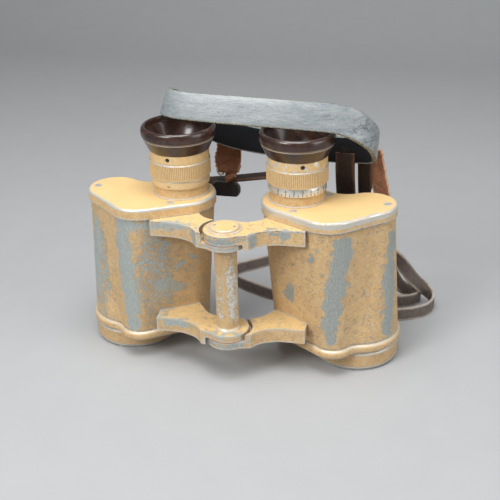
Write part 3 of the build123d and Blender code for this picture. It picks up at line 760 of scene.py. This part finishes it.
# worn places of the two housings, in millimetres: (centre, reach), and (centre, reach, strength)
right_bare = (
    ((60.0, 24.0, 40.0), (4.0, 6, 9)),
    ((50.6, -16.5, 65.0), (6.2, 6, 7)),
    ((50.0, -17.0, 57.0), (5.6, 6, 9)),
    ((48.6, -17.3, 47.0), (5.4, 6, 10)),
    ((47.4, -17.6, 37.0), (5.0, 6, 9)),
    ((46.8, -17.8, 29.0), (4.6, 6, 8)),
    ((47.0, -17.8, 21.0), (2.6, 6, 6)),
    ((71.5, -0.5, 44.0), (4.4, 5.5, 20)),
    ((71.8, 0.5, 62.0), (3.0, 5, 9)),
    ((37.6, -16.8, 60.5), (1.8, 3, 3.2)),
    ((26.5, -8.0, 37.0), (2.6, 4, 7)),
    ((50.0, 0.0, 78.9), (2.8, 2.2, 2)),
    ((24.0, -19.6, 73.2), (14.0, 3, 1.6)),
    ((13.5, -25.0, 71.0), (2.2, 3, 5)),
    ((26.0, -19.6, 71.2), (3.0, 3, 1.6)),
    ((2.0, -31.0, 70.6), (16.0, 7, 1.5)),
    ((2.0, -31.0, 20.0), (16.0, 7, 2.0)),
    ((71.0, -0.6, 24.0), (3.0, 5, 12)),
)
right_flaky = (
    ((54.0, 26.0, 52.0), (18, 9, 30), 0.6),
    ((50.0, -17.0, 46.0), (13, 8, 34), 0.2),
    ((70.0, -1.0, 42.0), (9, 10, 34), 0.5),
    ((16.0, -21.0, 70.0), (26, 6, 4), 0.25),
    ((16.0, -21.0, 20.0), (26, 6, 6), 0.3),
    ((0.0, -29.0, 70.0), (12, 6, 4), 0.5),
    ((0.0, -29.0, 20.0), (12, 6, 4), 0.5),
)
left_bare = (
    ((-62.0, 22.0, 36.0), (4.4, 6, 12)),
    ((-44.0, 25.0, 58.0), (3.0, 6, 5)),
    ((-48.0, -18.2, 70.0), (6.6, 6, 6)),
    ((-49.2, -18.0, 60.0), (6.4, 6, 9)),
    ((-49.4, -18.0, 49.0), (6.2, 6, 9)),
    ((-48.8, -18.2, 38.0), (6.0, 6, 9)),
    ((-48.2, -18.4, 28.0), (5.6, 6, 8)),
    ((-47.6, -18.6, 19.0), (4.2, 6, 6)),
    ((-33.5, -12.5, 38.0), (7.5, 5, 5)),
    ((-27.0, -8.5, 36.0), (5.0, 4, 2.4)),
    ((-25.0, -8.5, 48.0), (4.5, 3, 1.6)),
    ((-20.0, -5.5, 51.5), (3.5, 3, 1.6)),
    ((-70.0, -2.5, 42.0), (5.5, 5, 22)),
    ((-36.0, -17.0, 71.0), (6.0, 4, 2.5)),
    ((-44.0, -19.0, 70.0), (6.0, 4, 4)),
    ((-24.0, -20.0, 72.6), (12.0, 4, 2.2)),
    ((-12.5, -25.0, 70.5), (3.0, 4, 5)),
    ((-24.0, -20.0, 22.0), (9.0, 4, 2.4)),
    ((2.0, -31.0, 67.8), (16.0, 7, 1.5)),
    ((2.0, -31.0, 24.2), (16.0, 7, 1.2)),
    ((-67.5, -5.0, 57.0), (4.2, 4, 13)),
)
left_flaky = (
    ((-54.0, 26.0, 46.0), (18, 9, 32), 0.7),
    ((-36.0, -15.0, 44.0), (12, 10, 36), 0.85),
    ((-27.0, -9.0, 40.0), (12, 9, 18), 0.5),
    ((-67.0, -4.0, 42.0), (9, 10, 34), 0.95),
    ((-18.0, -21.0, 70.0), (22, 6, 5), 0.45),
    ((-20.0, -21.0, 20.0), (22, 6, 5), 0.45),
    ((0.0, -29.0, 68.0), (12, 6, 3), 0.5),
    ((0.0, -29.0, 22.0), (12, 6, 3), 0.5),
)

CAP_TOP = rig.box("right_objective_cap")[1].z / MM
PLATE_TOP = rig.box("right_objective_plate")[1].z / MM
COVER_FOOT = 73.4
housing_joints = ((COVER_FOOT + 0.1, 0.8), (14.6, 0.7))
cover_joint = ((COVER_FOOT, 0.6),)
right_paint = worn_paint(
    "right_paint", right_bare, right_flaky, 0.08, metal_tone=(0.29, 0.315, 0.30), seed=3, dirt=housing_joints,
)
left_paint = worn_paint(
    "left_paint", left_bare, left_flaky, 0.12, metal_tone=(0.33, 0.365, 0.35), seed=21, dirt=housing_joints,
)
right_cover = worn_paint(
    "right_cover_paint", rim=0.55, seed=40, brown=0.28, bands=((77.2, 2.0, 3.2),), dirt=cover_joint,
)
left_cover = worn_paint(
    "left_cover_paint", rim=0.45, seed=47, brown=0.28, bands=((78.2, 0.9, 2.5),), dirt=cover_joint,
)
plate_paint = worn_paint(
    "plate_paint", base_flake=0.25, seed=55, brown=0.6,
    bands=((PLATE_TOP - 0.35, 0.6, 1.0), (CAP_TOP + 0.5, 0.4, 2.5)), dirt=((PLATE_TOP + 0.1, 0.25),),
)
cap_paint = worn_paint(
    "cap_paint", base_flake=0.35, seed=63, brown=0.8,
    bands=((0.8, 2.0, 1.6), (CAP_TOP - 0.5, 0.5, 1.4)), dirt=((CAP_TOP, 0.3),),
)
tube_paint = worn_paint(
    "tube_paint",
    (((3.8, -26, 34), (1.6, 2, 4)), ((-2.6, -27, 32), (1.6, 2, 3))),
    (((4.5, -25, 45), (4, 5, 22), 1.0), ((-2.5, -27, 44), (3, 4, 14), 0.8)),
    base_flake=0.1, seed=70, brown=0.55, metal_tone=(0.52, 0.52, 0.48),
)
small_paint = worn_paint("small_paint", base_flake=0.1, seed=82, brown=0.35)
steel = bare_metal("steel", (0.66, 0.64, 0.58), 0.32, shine=0.55)
dark_steel = bare_metal("dark_steel", (0.10, 0.10, 0.10), 0.4)
brass = bare_metal("brass", (0.62, 0.42, 0.16), 0.3)
blackened = bare_metal("blackened", (0.035, 0.035, 0.035), 0.5)
resin = bakelite("resin")
lens_glass = glass("lens_glass")
washer_fibre = fibre_washer("washer_fibre")
pad_leather = glazed_leather("pad_leather")
tab_leather = leather("tab_leather", (0.20, 0.072, 0.032), (0.58, 0.31, 0.17), 0.8, 1.3, 0.8, 0.5)
brown_strap = leather("brown_strap", (0.15, 0.112, 0.092), (0.44, 0.38, 0.32), 0.5, 1.4, 0.5)
dark_strap = leather("dark_strap", (0.026, 0.012, 0.007), (0.12, 0.055, 0.03), 0.5, 1.2, 0.5, 0.15)
black_tab = leather("black_tab", (0.012, 0.012, 0.014), (0.10, 0.10, 0.10), 0.35, 1.2, 0.4)


# ---------- straps, as cords ----------
STRAP_WIDTH, STRAP_THICKNESS = 7.0, 1.5


def from_hinge(points):
    """Places given from the hinge axis, in millimetres, in the row frame."""
    return [(x, y + HINGE_Y / MM, z) for x, y, z in points]


right_route = (
    (57.4, 46.6, 58.4),
    (57.4, 46.6, 54.0),
    (60.5, 51.0, 49.5),
    (65.0, 57.0, 44.5),
    (70.5, 62.0, 38.0),
    (76.0, 69.5, 26.0),
    (81.0, 78.0, 15.0),
    (86.5, 84.5, 7.5),
    (91.5, 79.0, 3.9),
    (88.0, 69.5, 3.6),
    (78.5, 63.0, 3.6),
    (65.0, 60.0, 3.6),
    (50.0, 60.5, 3.6),
    (34.0, 63.5, 3.6),
    (18.0, 67.5, 3.6),
    (3.0, 73.0, 3.6),
    (-11.0, 80.0, 3.6),
    (-22.0, 88.0, 3.6),
    (-21.0, 97.0, 3.6),
    (-10.0, 106.5, 3.6),
    (0.5, 116.0, 3.6),
    (12.0, 124.5, 3.6),
    (27.0, 126.0, 3.6),
    (41.5, 118.0, 3.6),
    (50.0, 104.0, 4.0),
    (52.5, 89.0, 6.0),
    (51.5, 76.5, 14.0),
    (49.5, 67.5, 28.0),
    (48.0, 60.5, 45.0),
    (47.0, 55.0, 62.0),
    (46.6, 51.6, 76.0),
    (46.5, 50.6, 82.5),
    (46.5, 50.6, 88.2),
)
tail_route = (
    (60.0, 58.5, 44.0),
    (62.5, 62.5, 36.0),
    (67.5, 70.5, 25.0),
    (71.5, 79.0, 13.5),
    (74.5, 86.5, 6.0),
    (79.5, 91.0, 3.7),
    (84.0, 86.5, 3.6),
    (81.5, 79.5, 3.6),
    (72.5, 75.5, 3.6),
    (60.0, 74.5, 3.6),
    (47.0, 75.5, 3.6),
    (36.0, 78.5, 3.6),
)
left_route = (
    (-57.4, 46.6, 61.8),
    (-57.4, 46.6, 65.0),
    (-54.0, 51.0, 67.5),
    (-47.0, 55.0, 69.0),
    (-38.0, 57.0, 70.5),
    (-27.0, 57.5, 72.0),
    (-15.0, 56.8, 73.8),
    (-3.0, 55.8, 76.0),
    (9.0, 54.6, 78.4),
    (20.0, 53.2, 80.2),
    (27.5, 51.6, 81.8),
    (31.0, 50.8, 84.8),
    (31.0, 50.8, 88.1),
)


def side_ways(route, standing_below=20.0, hanging_above=40.0):
    """Direction of a strap's width: upright where it stands on the floor, level where it hangs."""
    standing, hanging = Vector((0, 0, 1)), Vector((1, -0.25, 0))
    ways = []
    for _, _, z in route:
        share = min(1.0, max(0.0, (z - standing_below) / (hanging_above - standing_below)))
        ways.append(tuple(standing.lerp(hanging, share).normalized() * 6))
    return ways


def strap_wear(t, across, along):
    """High on the cut edges, uneven on the faces."""
    if abs(along) > STRAP_WIDTH * 0.44:
        return 0.9
    return 0.25 + 0.2 * noise.noise((t * 40, along, 0))


def make_strap(name, route, ways, far_end, replaced, material=brown_strap, body="right_barrel"):
    """Flat strap along its route, declared as a cord."""
    section = strap_section(STRAP_WIDTH, STRAP_THICKNESS)
    piece, line, total = swept(name, from_hinge(route), ways, section, strap_wear)
    place(piece, body, "strap_leather", material, replaced)
    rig.cord(
        piece, exit=line[0], length=total * MM, diameter=STRAP_WIDTH * MM, far_end=far_end,
        stiffness="limp", lay="loose", path=line,
    )


make_strap("long_strap", right_route, side_ways(right_route), "object", "right_strap")
make_strap("strap_end", tail_route, side_ways(tail_route), "bare", "strap_tail")
left_ways = [(0.6, -1.2, 6)] * 2 + [(0, 5, 3)] + [(0, 6, 0.3)] * 7 + [(3, 5, 0)] + [(6, 1, 0)] * 2
# the short strap's lug end follows the left barrel; it bends from here to there, in metres
across_hinge = ("left_barrel", "right_barrel", (-0.052, 0.03, 0.07), (0.024, 0.03, 0.08))
make_strap("short_strap", left_route, left_ways, "object", "left_strap", dark_strap, across_hinge)

# ---------- neck pad ----------
PAD_HALF_WIDTH, PAD_HALF_THICKNESS = 6.4, 1.3
# place of the band's middle, and how far its top edge leans along x and y
pad_line = (
    ((19.0, 50.6, 95.6), (0, 0)),
    ((4.0, 50.8, 97.0), (0, 0)),
    ((-11.0, 50.2, 99.8), (0, 0)),
    ((-22.0, 49.4, 105.4), (0, -0.1)),
    ((-30.6, 47.6, 112.2), (0.1, -0.25)),
    ((-35.6, 43.2, 117.1), (0.3, -0.15)),
    ((-35.8, 35.6, 118.7), (0.35, 0.1)),
    ((-29.0, 31.2, 118.6), (0.1, 0.35)),
    ((-16.0, 29.4, 118.4), (0, 0.38)),
    ((6.0, 27.4, 118.4), (0, 0.36)),
    ((24.0, 25.4, 118.4), (0, 0.32)),
    ((40.0, 24.0, 118.3), (-0.05, 0.3)),
    ((47.5, 24.6, 117.6), (-0.15, 0.25)),
    ((55.0, 27.4, 113.4), (-0.3, 0.15)),
    ((60.0, 32.2, 107.6), (-0.15, 0.05)),
    ((61.2, 39.8, 101.2), (0.1, 0)),
    ((58.2, 46.6, 96.6), (0.1, 0)),
    ((50.0, 50.4, 95.0), (0, 0)),
    ((36.0, 50.8, 94.6), (0, 0)),
    ((20.2, 50.7, 95.5), (0, 0)),
)


def pad_wear(t, across, along):
    """High on the cut edges, middling on the outer face, where it marks the painted grey sheen, none inside."""
    if abs(along) > 0.945 * PAD_HALF_WIDTH:
        return 1.0
    return 0.5 if across > 0 else 0.0


def pad_section():
    """Flat section with crowned faces; the rows lie closer together towards the edges."""
    half, t, edge = PAD_HALF_WIDTH, PAD_HALF_THICKNESS, 0.45
    rows = (-6.1, -5.4, -4.2, -2.8, -1.2, 0.4, 2.0, 3.6, 5.0, 6.0)
    face = [(t * (1.0 - 0.25 * (w / half) ** 4), w) for w in rows]
    back = [(-a, w) for a, w in reversed(face)]
    return face + [(edge, half), (-edge, half)] + back + [(-edge, -half), (edge, -half)]


def make_pad():
    """Stiff leather band that runs over the eyepieces in one loop, declared as padded."""
    places = from_hinge([point for point, _ in pad_line])
    ways = [(6 * x, 6 * y, 6) for _, (x, y) in pad_line]
    pad, _, _ = swept("pad", places, ways, pad_section(), pad_wear)
    place(pad, "right_barrel", "black_leather", pad_leather, "neck_pad")
    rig.padded(pad, fill=0.3)


make_pad()


# ---------- leather tabs ----------
def rough_tab(name, node, slot_name, material, thick, ragged, curl, outline):
    """Leather tab that fills its solid's box. Places on it run from -1 to 1 across and up the box:
    outline gives its left and right edge at a height, and curl how far it bows there, in millimetres."""
    low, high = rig.box(node)
    middle = (low + high) / 2 / MM
    half = (high - low) / 2 / MM
    rows, columns = 40, 22
    points, wear, faces = [], [], []
    for side in (1, -1):
        for i in range(rows + 1):
            v = -1 + 2 * i / rows
            left, right = outline(v)
            for j in range(columns + 1):
                u = j / columns
                x = left + (right - left) * u
                border = min(u, 1 - u) * 2
                spot = Vector((x * 1.7, v * 3.1, 5.0))
                rough = noise.noise(spot * 2.3) * 0.35 + noise.noise(spot * 7.0) * 0.15
                swell = thick / 2 * (0.55 + 0.45 * min(1.0, border * 5, (1 - abs(v)) * 12))
                depth = side * (swell + 0.25 * rough) + curl(x, v)
                edge = ragged * noise.noise(Vector((x * 3, v * 9, 1.0)))
                points.append((
                    middle.x + half.x * x + edge * (1 if u in (0, 1) else 0.4),
                    middle.y + depth,
                    middle.z + half.z * v + 0.5 * ragged * noise.noise(Vector((x * 8, v, 3.0))),
                ))
                wear.append(0.9 if border < 0.12 or abs(v) > 0.95 else 0.2 + 0.5 * max(0.0, rough))
    grid = (rows + 1) * (columns + 1)

    def at(face, i, j):
        return face * grid + i * (columns + 1) + j

    for face in (0, 1):
        for i in range(rows):
            for j in range(columns):
                faces.append((at(face, i, j), at(face, i, j + 1), at(face, i + 1, j + 1), at(face, i + 1, j)))
    for i in range(rows):
        for j in (0, columns):
            faces.append((at(0, i, j), at(0, i + 1, j), at(1, i + 1, j), at(1, i, j)))
    for j in range(columns):
        for i in (0, rows):
            faces.append((at(0, i, j), at(0, i, j + 1), at(1, i, j + 1), at(1, i, j)))
    place(mesh_from(name, points, faces, wear, 60), "right_barrel", slot_name, material, node)


rough_tab(
    "rust_tab", "left_tab", "brown_leather", tab_leather, 2.4, 0.7,
    lambda x, v: -1.6 * max(0.0, -v - 0.55) + 0.5 * math.sin(3 * x),
    lambda v: (-0.98 + 0.12 * math.sin(4 * v), 0.95 - 0.18 * max(0.0, v) + 0.06 * math.sin(7 * v)),
)
rough_tab(
    "folded_tab", "right_tab", "brown_leather", tab_leather, 2.4, 0.6,
    lambda x, v: 0.8 * math.sin(2.5 * v) - 0.6 * abs(x),
    lambda v: (-0.42 * v - 0.55, -0.42 * v + 0.55),
)
rough_tab(
    "keeper", "strap_keeper", "black_leather", black_tab, 1.8, 0.15,
    lambda x, v: 0.4 * x * x,
    lambda v: (-1.0 + 0.30 * abs(v) ** 3, 0.72 - 0.25 * abs(v) ** 3),
)


def hanging_strip(name, route, width, thickness, material, ways):
    """Short leather strip that hangs from the pad, worn along its edges."""
    piece, _, _ = swept(
        name, from_hinge(route), ways, strap_section(width, thickness),
        lambda t, across, along: 0.8 if abs(along) > width * 0.45 else 0.15,
    )
    place(piece, "right_barrel", "strap_leather", material)


hanging_strip(
    "pad_tongue",
    ((46.2, 48.4, 94.0), (46.2, 48.2, 88.0), (46.5, 48.6, 80.0), (47.0, 50.4, 70.0), (47.4, 52.8, 62.0)),
    9.2, 1.6, dark_strap, [(6, -1, 0)] * 5,
)
hanging_strip(
    "tab_fold",
    ((-7.2, 53.2, 95.0), (-7.0, 53.4, 88.0), (-8.2, 53.8, 82.0), (-10.6, 53.2, 77.6), (-9.4, 51.4, 76.2)),
    5.4, 2.0, tab_leather, [(6, -1, 0.4)] * 3 + [(6, -1, 1.5)] * 2,
)
hanging_strip(
    "second_strap",
    (
        (55.2, 49.0, 94.0), (55.4, 49.6, 86.0), (55.6, 51.0, 76.0),
        (56.0, 53.6, 64.0), (58.6, 57.0, 50.0), (60.5, 59.6, 42.5),
    ),
    7.0, 1.6, dark_strap, [(6, -2.2, 0)] * 6,
)


def small_ring(name, centre, radius, wire, facing):
    """Wire ring about a centre, taller than wide, facing a direction."""
    turn = Vector(facing).to_track_quat("Z", "Y")
    narrow, tall = 0.8, 1.15
    around, section = 40, 10
    points, faces = [], []
    for i in range(around):
        a = 2 * math.pi * i / around
        for j in range(section):
            b = 2 * math.pi * j / section
            r = radius + wire * math.cos(b)
            flat = Vector((r * math.cos(a) * narrow, r * math.sin(a) * tall, wire * math.sin(b)))
            points.append(Vector(centre) + turn @ flat)
            k, m = (i + 1) % around, (j + 1) % section
            faces.append((i * section + j, k * section + j, k * section + m, i * section + m))
    place(mesh_from(name, points, faces), "right_barrel", "steel", steel)


small_ring("right_tab_ring", from_hinge([(60.0, 50.2, 73.5)])[0], 2.7, 0.55, (1, -0.3, 0.2))
small_ring("left_tab_ring", from_hinge([(-14.6, 52.6, 81.0)])[0], 2.4, 0.5, (0.3, -1, 0.3))


# ---------- eyepieces ----------
# heights of the focusing ring's parts, in millimetres above the ground
SCALE_BAND = (84.3, 87.3)
GRIP = (88.3, 95.05)
COLLAR = (96.1, 99.7)
BAND_RADIUS, GRIP_RADIUS, COLLAR_RADIUS = 13.28, 14.0, 13.6
RIBS, RIB_DEPTH = 104, 0.22
MARK_RADIUS = BAND_RADIUS + 0.03
# angles round the ring of the scale's zero, the left ring's index line, and from one bar to the next
ZERO_MARK, INDEX_MARK = math.radians(-70), math.radians(-98)
SCALE_STEP = 0.145


def in_knurl(height):
    """Whether the ribs reach this height."""
    return GRIP[0] + 0.2 < height < GRIP[1] + 0.15


def ring_profile():
    """Closed section of a focusing ring: band, groove, grip, groove and collar, then the bore."""
    outer = [
        (12.9, 83.92), (13.2, 84.05), (BAND_RADIUS, SCALE_BAND[0]), (BAND_RADIUS, SCALE_BAND[1]),
        (13.1, 87.6), (13.1, 87.95), (13.85, 88.1), (GRIP_RADIUS, GRIP[0]),
    ]
    rows = 15
    outer += [(GRIP_RADIUS, GRIP[0] + (GRIP[1] - GRIP[0]) * i / rows) for i in range(1, rows + 1)]
    outer += [
        (13.95, 95.35), (13.7, 95.55), (13.45, 95.7), (13.45, 95.95), (COLLAR_RADIUS, COLLAR[0]),
        (COLLAR_RADIUS, COLLAR[1]), (13.5, 99.9),
    ]
    bore = [
        (13.58, 99.95), (11.55, 99.95), (11.55, 97.05), (9.05, 97.05),
        (9.05, 95.65), (12.58, 95.65), (12.58, 83.95),
    ]
    return outer + bore


def knurled_ring(side, material):
    """Focusing ring with straight, unevenly worn ribs and the hole of its set screw."""
    def radius_at(radius, height, angle):
        if not in_knurl(height):
            return radius
        uneven = 0.5 + 0.5 * noise.noise(Vector((angle * 9, height * 0.4, 0)))
        return radius - RIB_DEPTH * (0.5 + 0.5 * math.cos(RIBS * angle)) * (0.5 + 0.6 * uneven)

    def wear_at(radius, height, angle):
        return 1.0 if in_knurl(height) and math.cos(RIBS * angle) < -0.2 else 0.0

    ring = revolved(f"{side}_grip_ring", f"{side}_focus_ring", ring_profile(), 8 * RIBS, radius_at, wear_at)
    middle = sum(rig.box(f"{side}_focus_ring"), Vector()) / 2
    hole = sum(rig.box(f"{side}_set_screw"), Vector()) / 2
    out = Vector((hole.x - middle.x, hole.y - middle.y, 0)).normalized()
    drill(ring, hole, out, 1.0)
    place(ring, f"{side}_eyepiece", "painted_alloy", material, f"{side}_focus_ring")


def ring_paint(name, seed, worn_scale):
    """Paint of a focusing ring: browner in the knurl's grooves, bright metal where it is rubbed."""
    s = Shader(name)
    where = s.vector("ADD", s.place(), (seed, 0, 0))
    height = s.height()
    mixed = s.noise(where, 0.6, 6, 0.7, 0.8)
    fine = s.noise(where, 2.2, 4, 0.7)

    def between(foot, full_foot, full_top, top):
        return s.times(s.step(height, foot, full_foot), s.step(height, top, full_top))

    lines = s.most(between(94.9, 95.3, 95.8, 96.1), between(87.2, 87.5, 88.1, 88.5))
    lines = s.times(lines, s.step(mixed, 0.35, 0.55))
    flakes = s.step(mixed, 0.66, 0.69)
    scale = s.times(between(84.0, 84.2, 87.6, 87.9), worn_scale)
    scale = s.times(scale, s.step(mixed, 0.28, 0.4))
    collar = s.times(s.step(height, 96.0, 96.3), s.step(s.noise(where, 0.3, 5, 0.7), 0.49, 0.57))
    metal = s.most(lines, flakes, scale, s.times(collar, 0.8 * worn_scale))
    wear = s.wear()
    grip = between(88.2, 88.6, 95.0, 95.3)
    paint = s.mix(s.step(mixed, 0.4, 0.65), SAND, ORANGE)
    grooves = s.times(grip, s.minus(1.0, wear))
    paint = s.tint(paint, grooves, 0.55, (0.30, 0.19, 0.09))
    tips = s.times(s.times(grip, wear), s.step(fine, 0.5, 0.6))
    metal = s.most(metal, s.times(tips, 0.5))
    s.set("Base Color", s.mix(metal, paint, (0.74, 0.72, 0.66)))
    s.set("Metallic", s.times(metal, 0.7))
    s.set("Roughness", s.minus(0.58, s.times(metal, 0.25)))
    s.set("Normal", s.bump(s.plus(fine, s.times(metal, -0.6)), 0.08, 0.5))
    return s.material


def on_band(side, angle, radius, height):
    """Point at an angle round a focusing ring's own axis, in millimetres."""
    low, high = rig.box(f"{side}_focus_ring")
    centre = (low + high) / 2 / MM
    return Vector((centre.x + radius * math.cos(angle), centre.y + radius * math.sin(angle), height))


def scale_marks(side, middle, bars):
    """Engraved lines on the scale band; a bar is (angle, width, foot, top), angles from the middle one."""
    points, faces = [], []
    for angle, width, foot, top in bars:
        start = len(points)
        for height in (foot, top):
            for end in (-0.5, 0.5):
                for radius in (MARK_RADIUS - 0.1, MARK_RADIUS):
                    points.append(on_band(side, middle + angle + end * width / MARK_RADIUS, radius, height))
        for face in ((0, 1, 3, 2), (4, 5, 7, 6), (0, 1, 5, 4), (2, 3, 7, 6), (0, 2, 6, 4), (1, 3, 7, 5)):
            faces.append(tuple(start + i for i in face))
    marks = mesh_from(f"{side}_scale_lines", points, faces, None, 20)
    place(marks, f"{side}_eyepiece", "dark_steel", dark_steel)


def scale_figure(name, figure, angle, height, foot):
    """Engraved figure bent round the right ring's scale band."""
    text = bpy.data.curves.new(name, "FONT")
    text.body = figure
    text.size = height * MM
    text.align_x = "CENTER"
    text.extrude = 0.05 * MM
    text.resolution_u = 3
    flat = new_object("flat_figure", text)
    mesh = bpy.data.meshes.new_from_object(flat)
    bpy.data.objects.remove(flat)
    for vertex in mesh.vertices:
        x, y, z = vertex.co / MM
        vertex.co = on_band("right", angle + x / MARK_RADIUS, MARK_RADIUS - 0.04 + z, foot + y) * MM
    mesh.name = name
    place(new_object(name, mesh), "right_eyepiece", "dark_steel", dark_steel)


def right_scale():
    """Diopter scale from -6 to 6: a bar each, longer and with a figure at the even ones."""
    steps = range(-6, 7)
    bars = [(step * SCALE_STEP, 0.28, 84.4, 85.3 + 0.35 * (step % 2 == 0)) for step in steps]
    scale_marks("right", ZERO_MARK, bars)
    for step in steps[::2]:
        scale_figure(f"figure_{step + 6}", str(abs(step)), ZERO_MARK + step * SCALE_STEP, 2.0, 85.85)


def make_eyecup(side, seed):
    """Flared resin cup: spigot, stepped flare, rolled lip and the bowl inside it."""
    profile = [
        (9.15, 97.45), (11.42, 97.45), (11.42, 100.05), (13.6, 100.05), (13.95, 100.3), (16.35, 105.4),
        (16.4, 105.65), (16.0, 105.85), (16.0, 106.1), (16.9, 106.4), (17.15, 107.3), (17.18, 108.8),
        (16.9, 110.3), (16.2, 111.0), (15.6, 111.15), (15.0, 110.8), (14.75, 109.8), (14.6, 108.2),
        (12.3, 104.0), (10.6, 100.7), (9.2, 99.7),
    ]
    profile = rounded(profile, 2, 0.22)

    def radius_at(radius, height, angle):
        dent = 0.12 * noise.noise(Vector((math.cos(angle) * 2 + seed, math.sin(angle) * 2, height * 0.2)))
        return radius + (dent if height > 104 and radius > 14.9 else 0.0)

    def wear_at(radius, height, angle):
        in_groove = 105.3 < height < 106.3 and radius > 15.6
        on_lip = height > 110.3 and radius > 14.9
        in_bowl = height > 99.8 and radius < 14.4
        return 1.0 if in_groove else 0.36 if on_lip else 0.0 if in_bowl else 0.03

    cup = revolved(f"{side}_cup", f"{side}_eyecup", profile, 160, radius_at, wear_at)
    place(cup, f"{side}_eyepiece", "bakelite", resin, f"{side}_eyecup")


for side, seed, worn_scale in (("right", 5, 1.0), ("left", 31, 0.12)):
    knurled_ring(side, ring_paint(f"{side}_ring_paint", seed, worn_scale))
    if side == "right":
        right_scale()
    else:
        scale_marks(side, INDEX_MARK, [(0, 1.6, 85.2, 85.6)])
    make_eyecup(side, seed)

# ---------- carried-over CAD pieces ----------
by_kind = {
    "objective_plate": plate_paint, "objective_cap": cap_paint, "guide_tube": small_paint,
    "strap_lug": small_paint, "plate_screws": steel, "set_screw": dark_steel, "prism_clips": brass,
    "lens_tube": blackened, "eccentric_ring": blackened, "objective_cell": blackened,
    "objective_retainer": blackened, "eye_lens_retainer": blackened, "prism_shelf": blackened,
    "upper_prism": lens_glass, "lower_prism": lens_glass, "objective_lens": lens_glass,
    "field_lens": lens_glass, "eye_lens": lens_glass,
}
by_node = {
    "right_housing": right_paint, "left_housing": left_paint, "right_cover": right_cover,
    "left_cover": left_cover, "hinge_tube": tube_paint, "upper_hinge_cap": small_paint,
    "lower_hinge_cap": small_paint, "upper_hinge_washer": washer_fibre, "lower_hinge_washer": washer_fibre,
    "hinge_axle": dark_steel, "reticle": lens_glass, "reticle_cell": blackened, "pad_stud": blackened,
}
for node, cad_piece in frame["nodes"].items():
    _, _, kind = node.partition("_")
    material = by_node.get(node) or by_kind.get(kind)
    if material:
        cad_piece.data.materials.clear()
        cad_piece.data.materials.append(material)


# ---------- floor and light ----------
def make_stage():
    """Paper sweep: a flat floor, a quarter-round bend and an upright back, in millimetres."""
    half_width, front, back, top, bend, bend_steps = 2000, -1600, 900, 1600, 350, 12
    rows = [(front, 0), (back - bend, 0)]
    for step in range(1, bend_steps + 1):
        angle = step * math.pi / 2 / bend_steps
        rows.append((back - bend + bend * math.sin(angle), bend - bend * math.cos(angle)))
    rows.append((back, top))
    points, faces = [], []
    for y, z in rows:
        points += [(-half_width, y, z), (half_width, y, z)]
    for i in range(len(rows) - 1):
        faces.append((2 * i, 2 * i + 1, 2 * i + 3, 2 * i + 2))
    floor = mesh_from("floor", points, faces)
    s = Shader("floor_paper", Roughness=0.6)
    mottle = s.noise(s.place(), 0.05, 3, 0.5)
    s.set("Base Color", s.mix(mottle, (0.36, 0.365, 0.37), (0.385, 0.39, 0.395)))
    floor.data.materials.append(s.material)
    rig.stage(floor)


def area_light(name, place_at, size, power, target=(0, 0, 0.05)):
    """Softbox of this width and height in metres, aimed at the target."""
    data = bpy.data.lights.new(name, "AREA")
    data.shape = "RECTANGLE"
    data.size, data.size_y = size
    data.energy = power
    light = new_object(name, data)
    light.location = place_at
    light.rotation_euler = (Vector(target) - Vector(place_at)).to_track_quat("-Z", "Y").to_euler()


def make_world(colour, strength):
    """Even, slightly blue light from all round."""
    world = bpy.data.worlds.new("world")
    world.use_nodes = True
    background = world.node_tree.nodes["Background"]
    background.inputs["Color"].default_value = (*colour, 1)
    background.inputs["Strength"].default_value = strength
    bpy.context.scene.world = world


make_stage()
area_light("top_softbox", (0.0, -0.16, 0.72), (0.5, 0.45), 5.8)
area_light("front_softbox", (-0.42, -0.66, 0.62), (0.35, 0.3), 5.4)
area_light("right_fill", (0.7, -0.2, 0.35), (0.4, 0.5), 2.0)
make_world((0.9, 0.95, 1.0), 0.26)
bpy.context.scene.view_settings.view_transform = "Standard"

# ---------- sizes and end ----------
bpy.context.view_layer.update()
low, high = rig.bounds()
with open("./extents.json", "w") as out:
    json.dump({"cad": [list(cad_low), list(cad_high)], "visual": [list(low), list(high)]}, out)
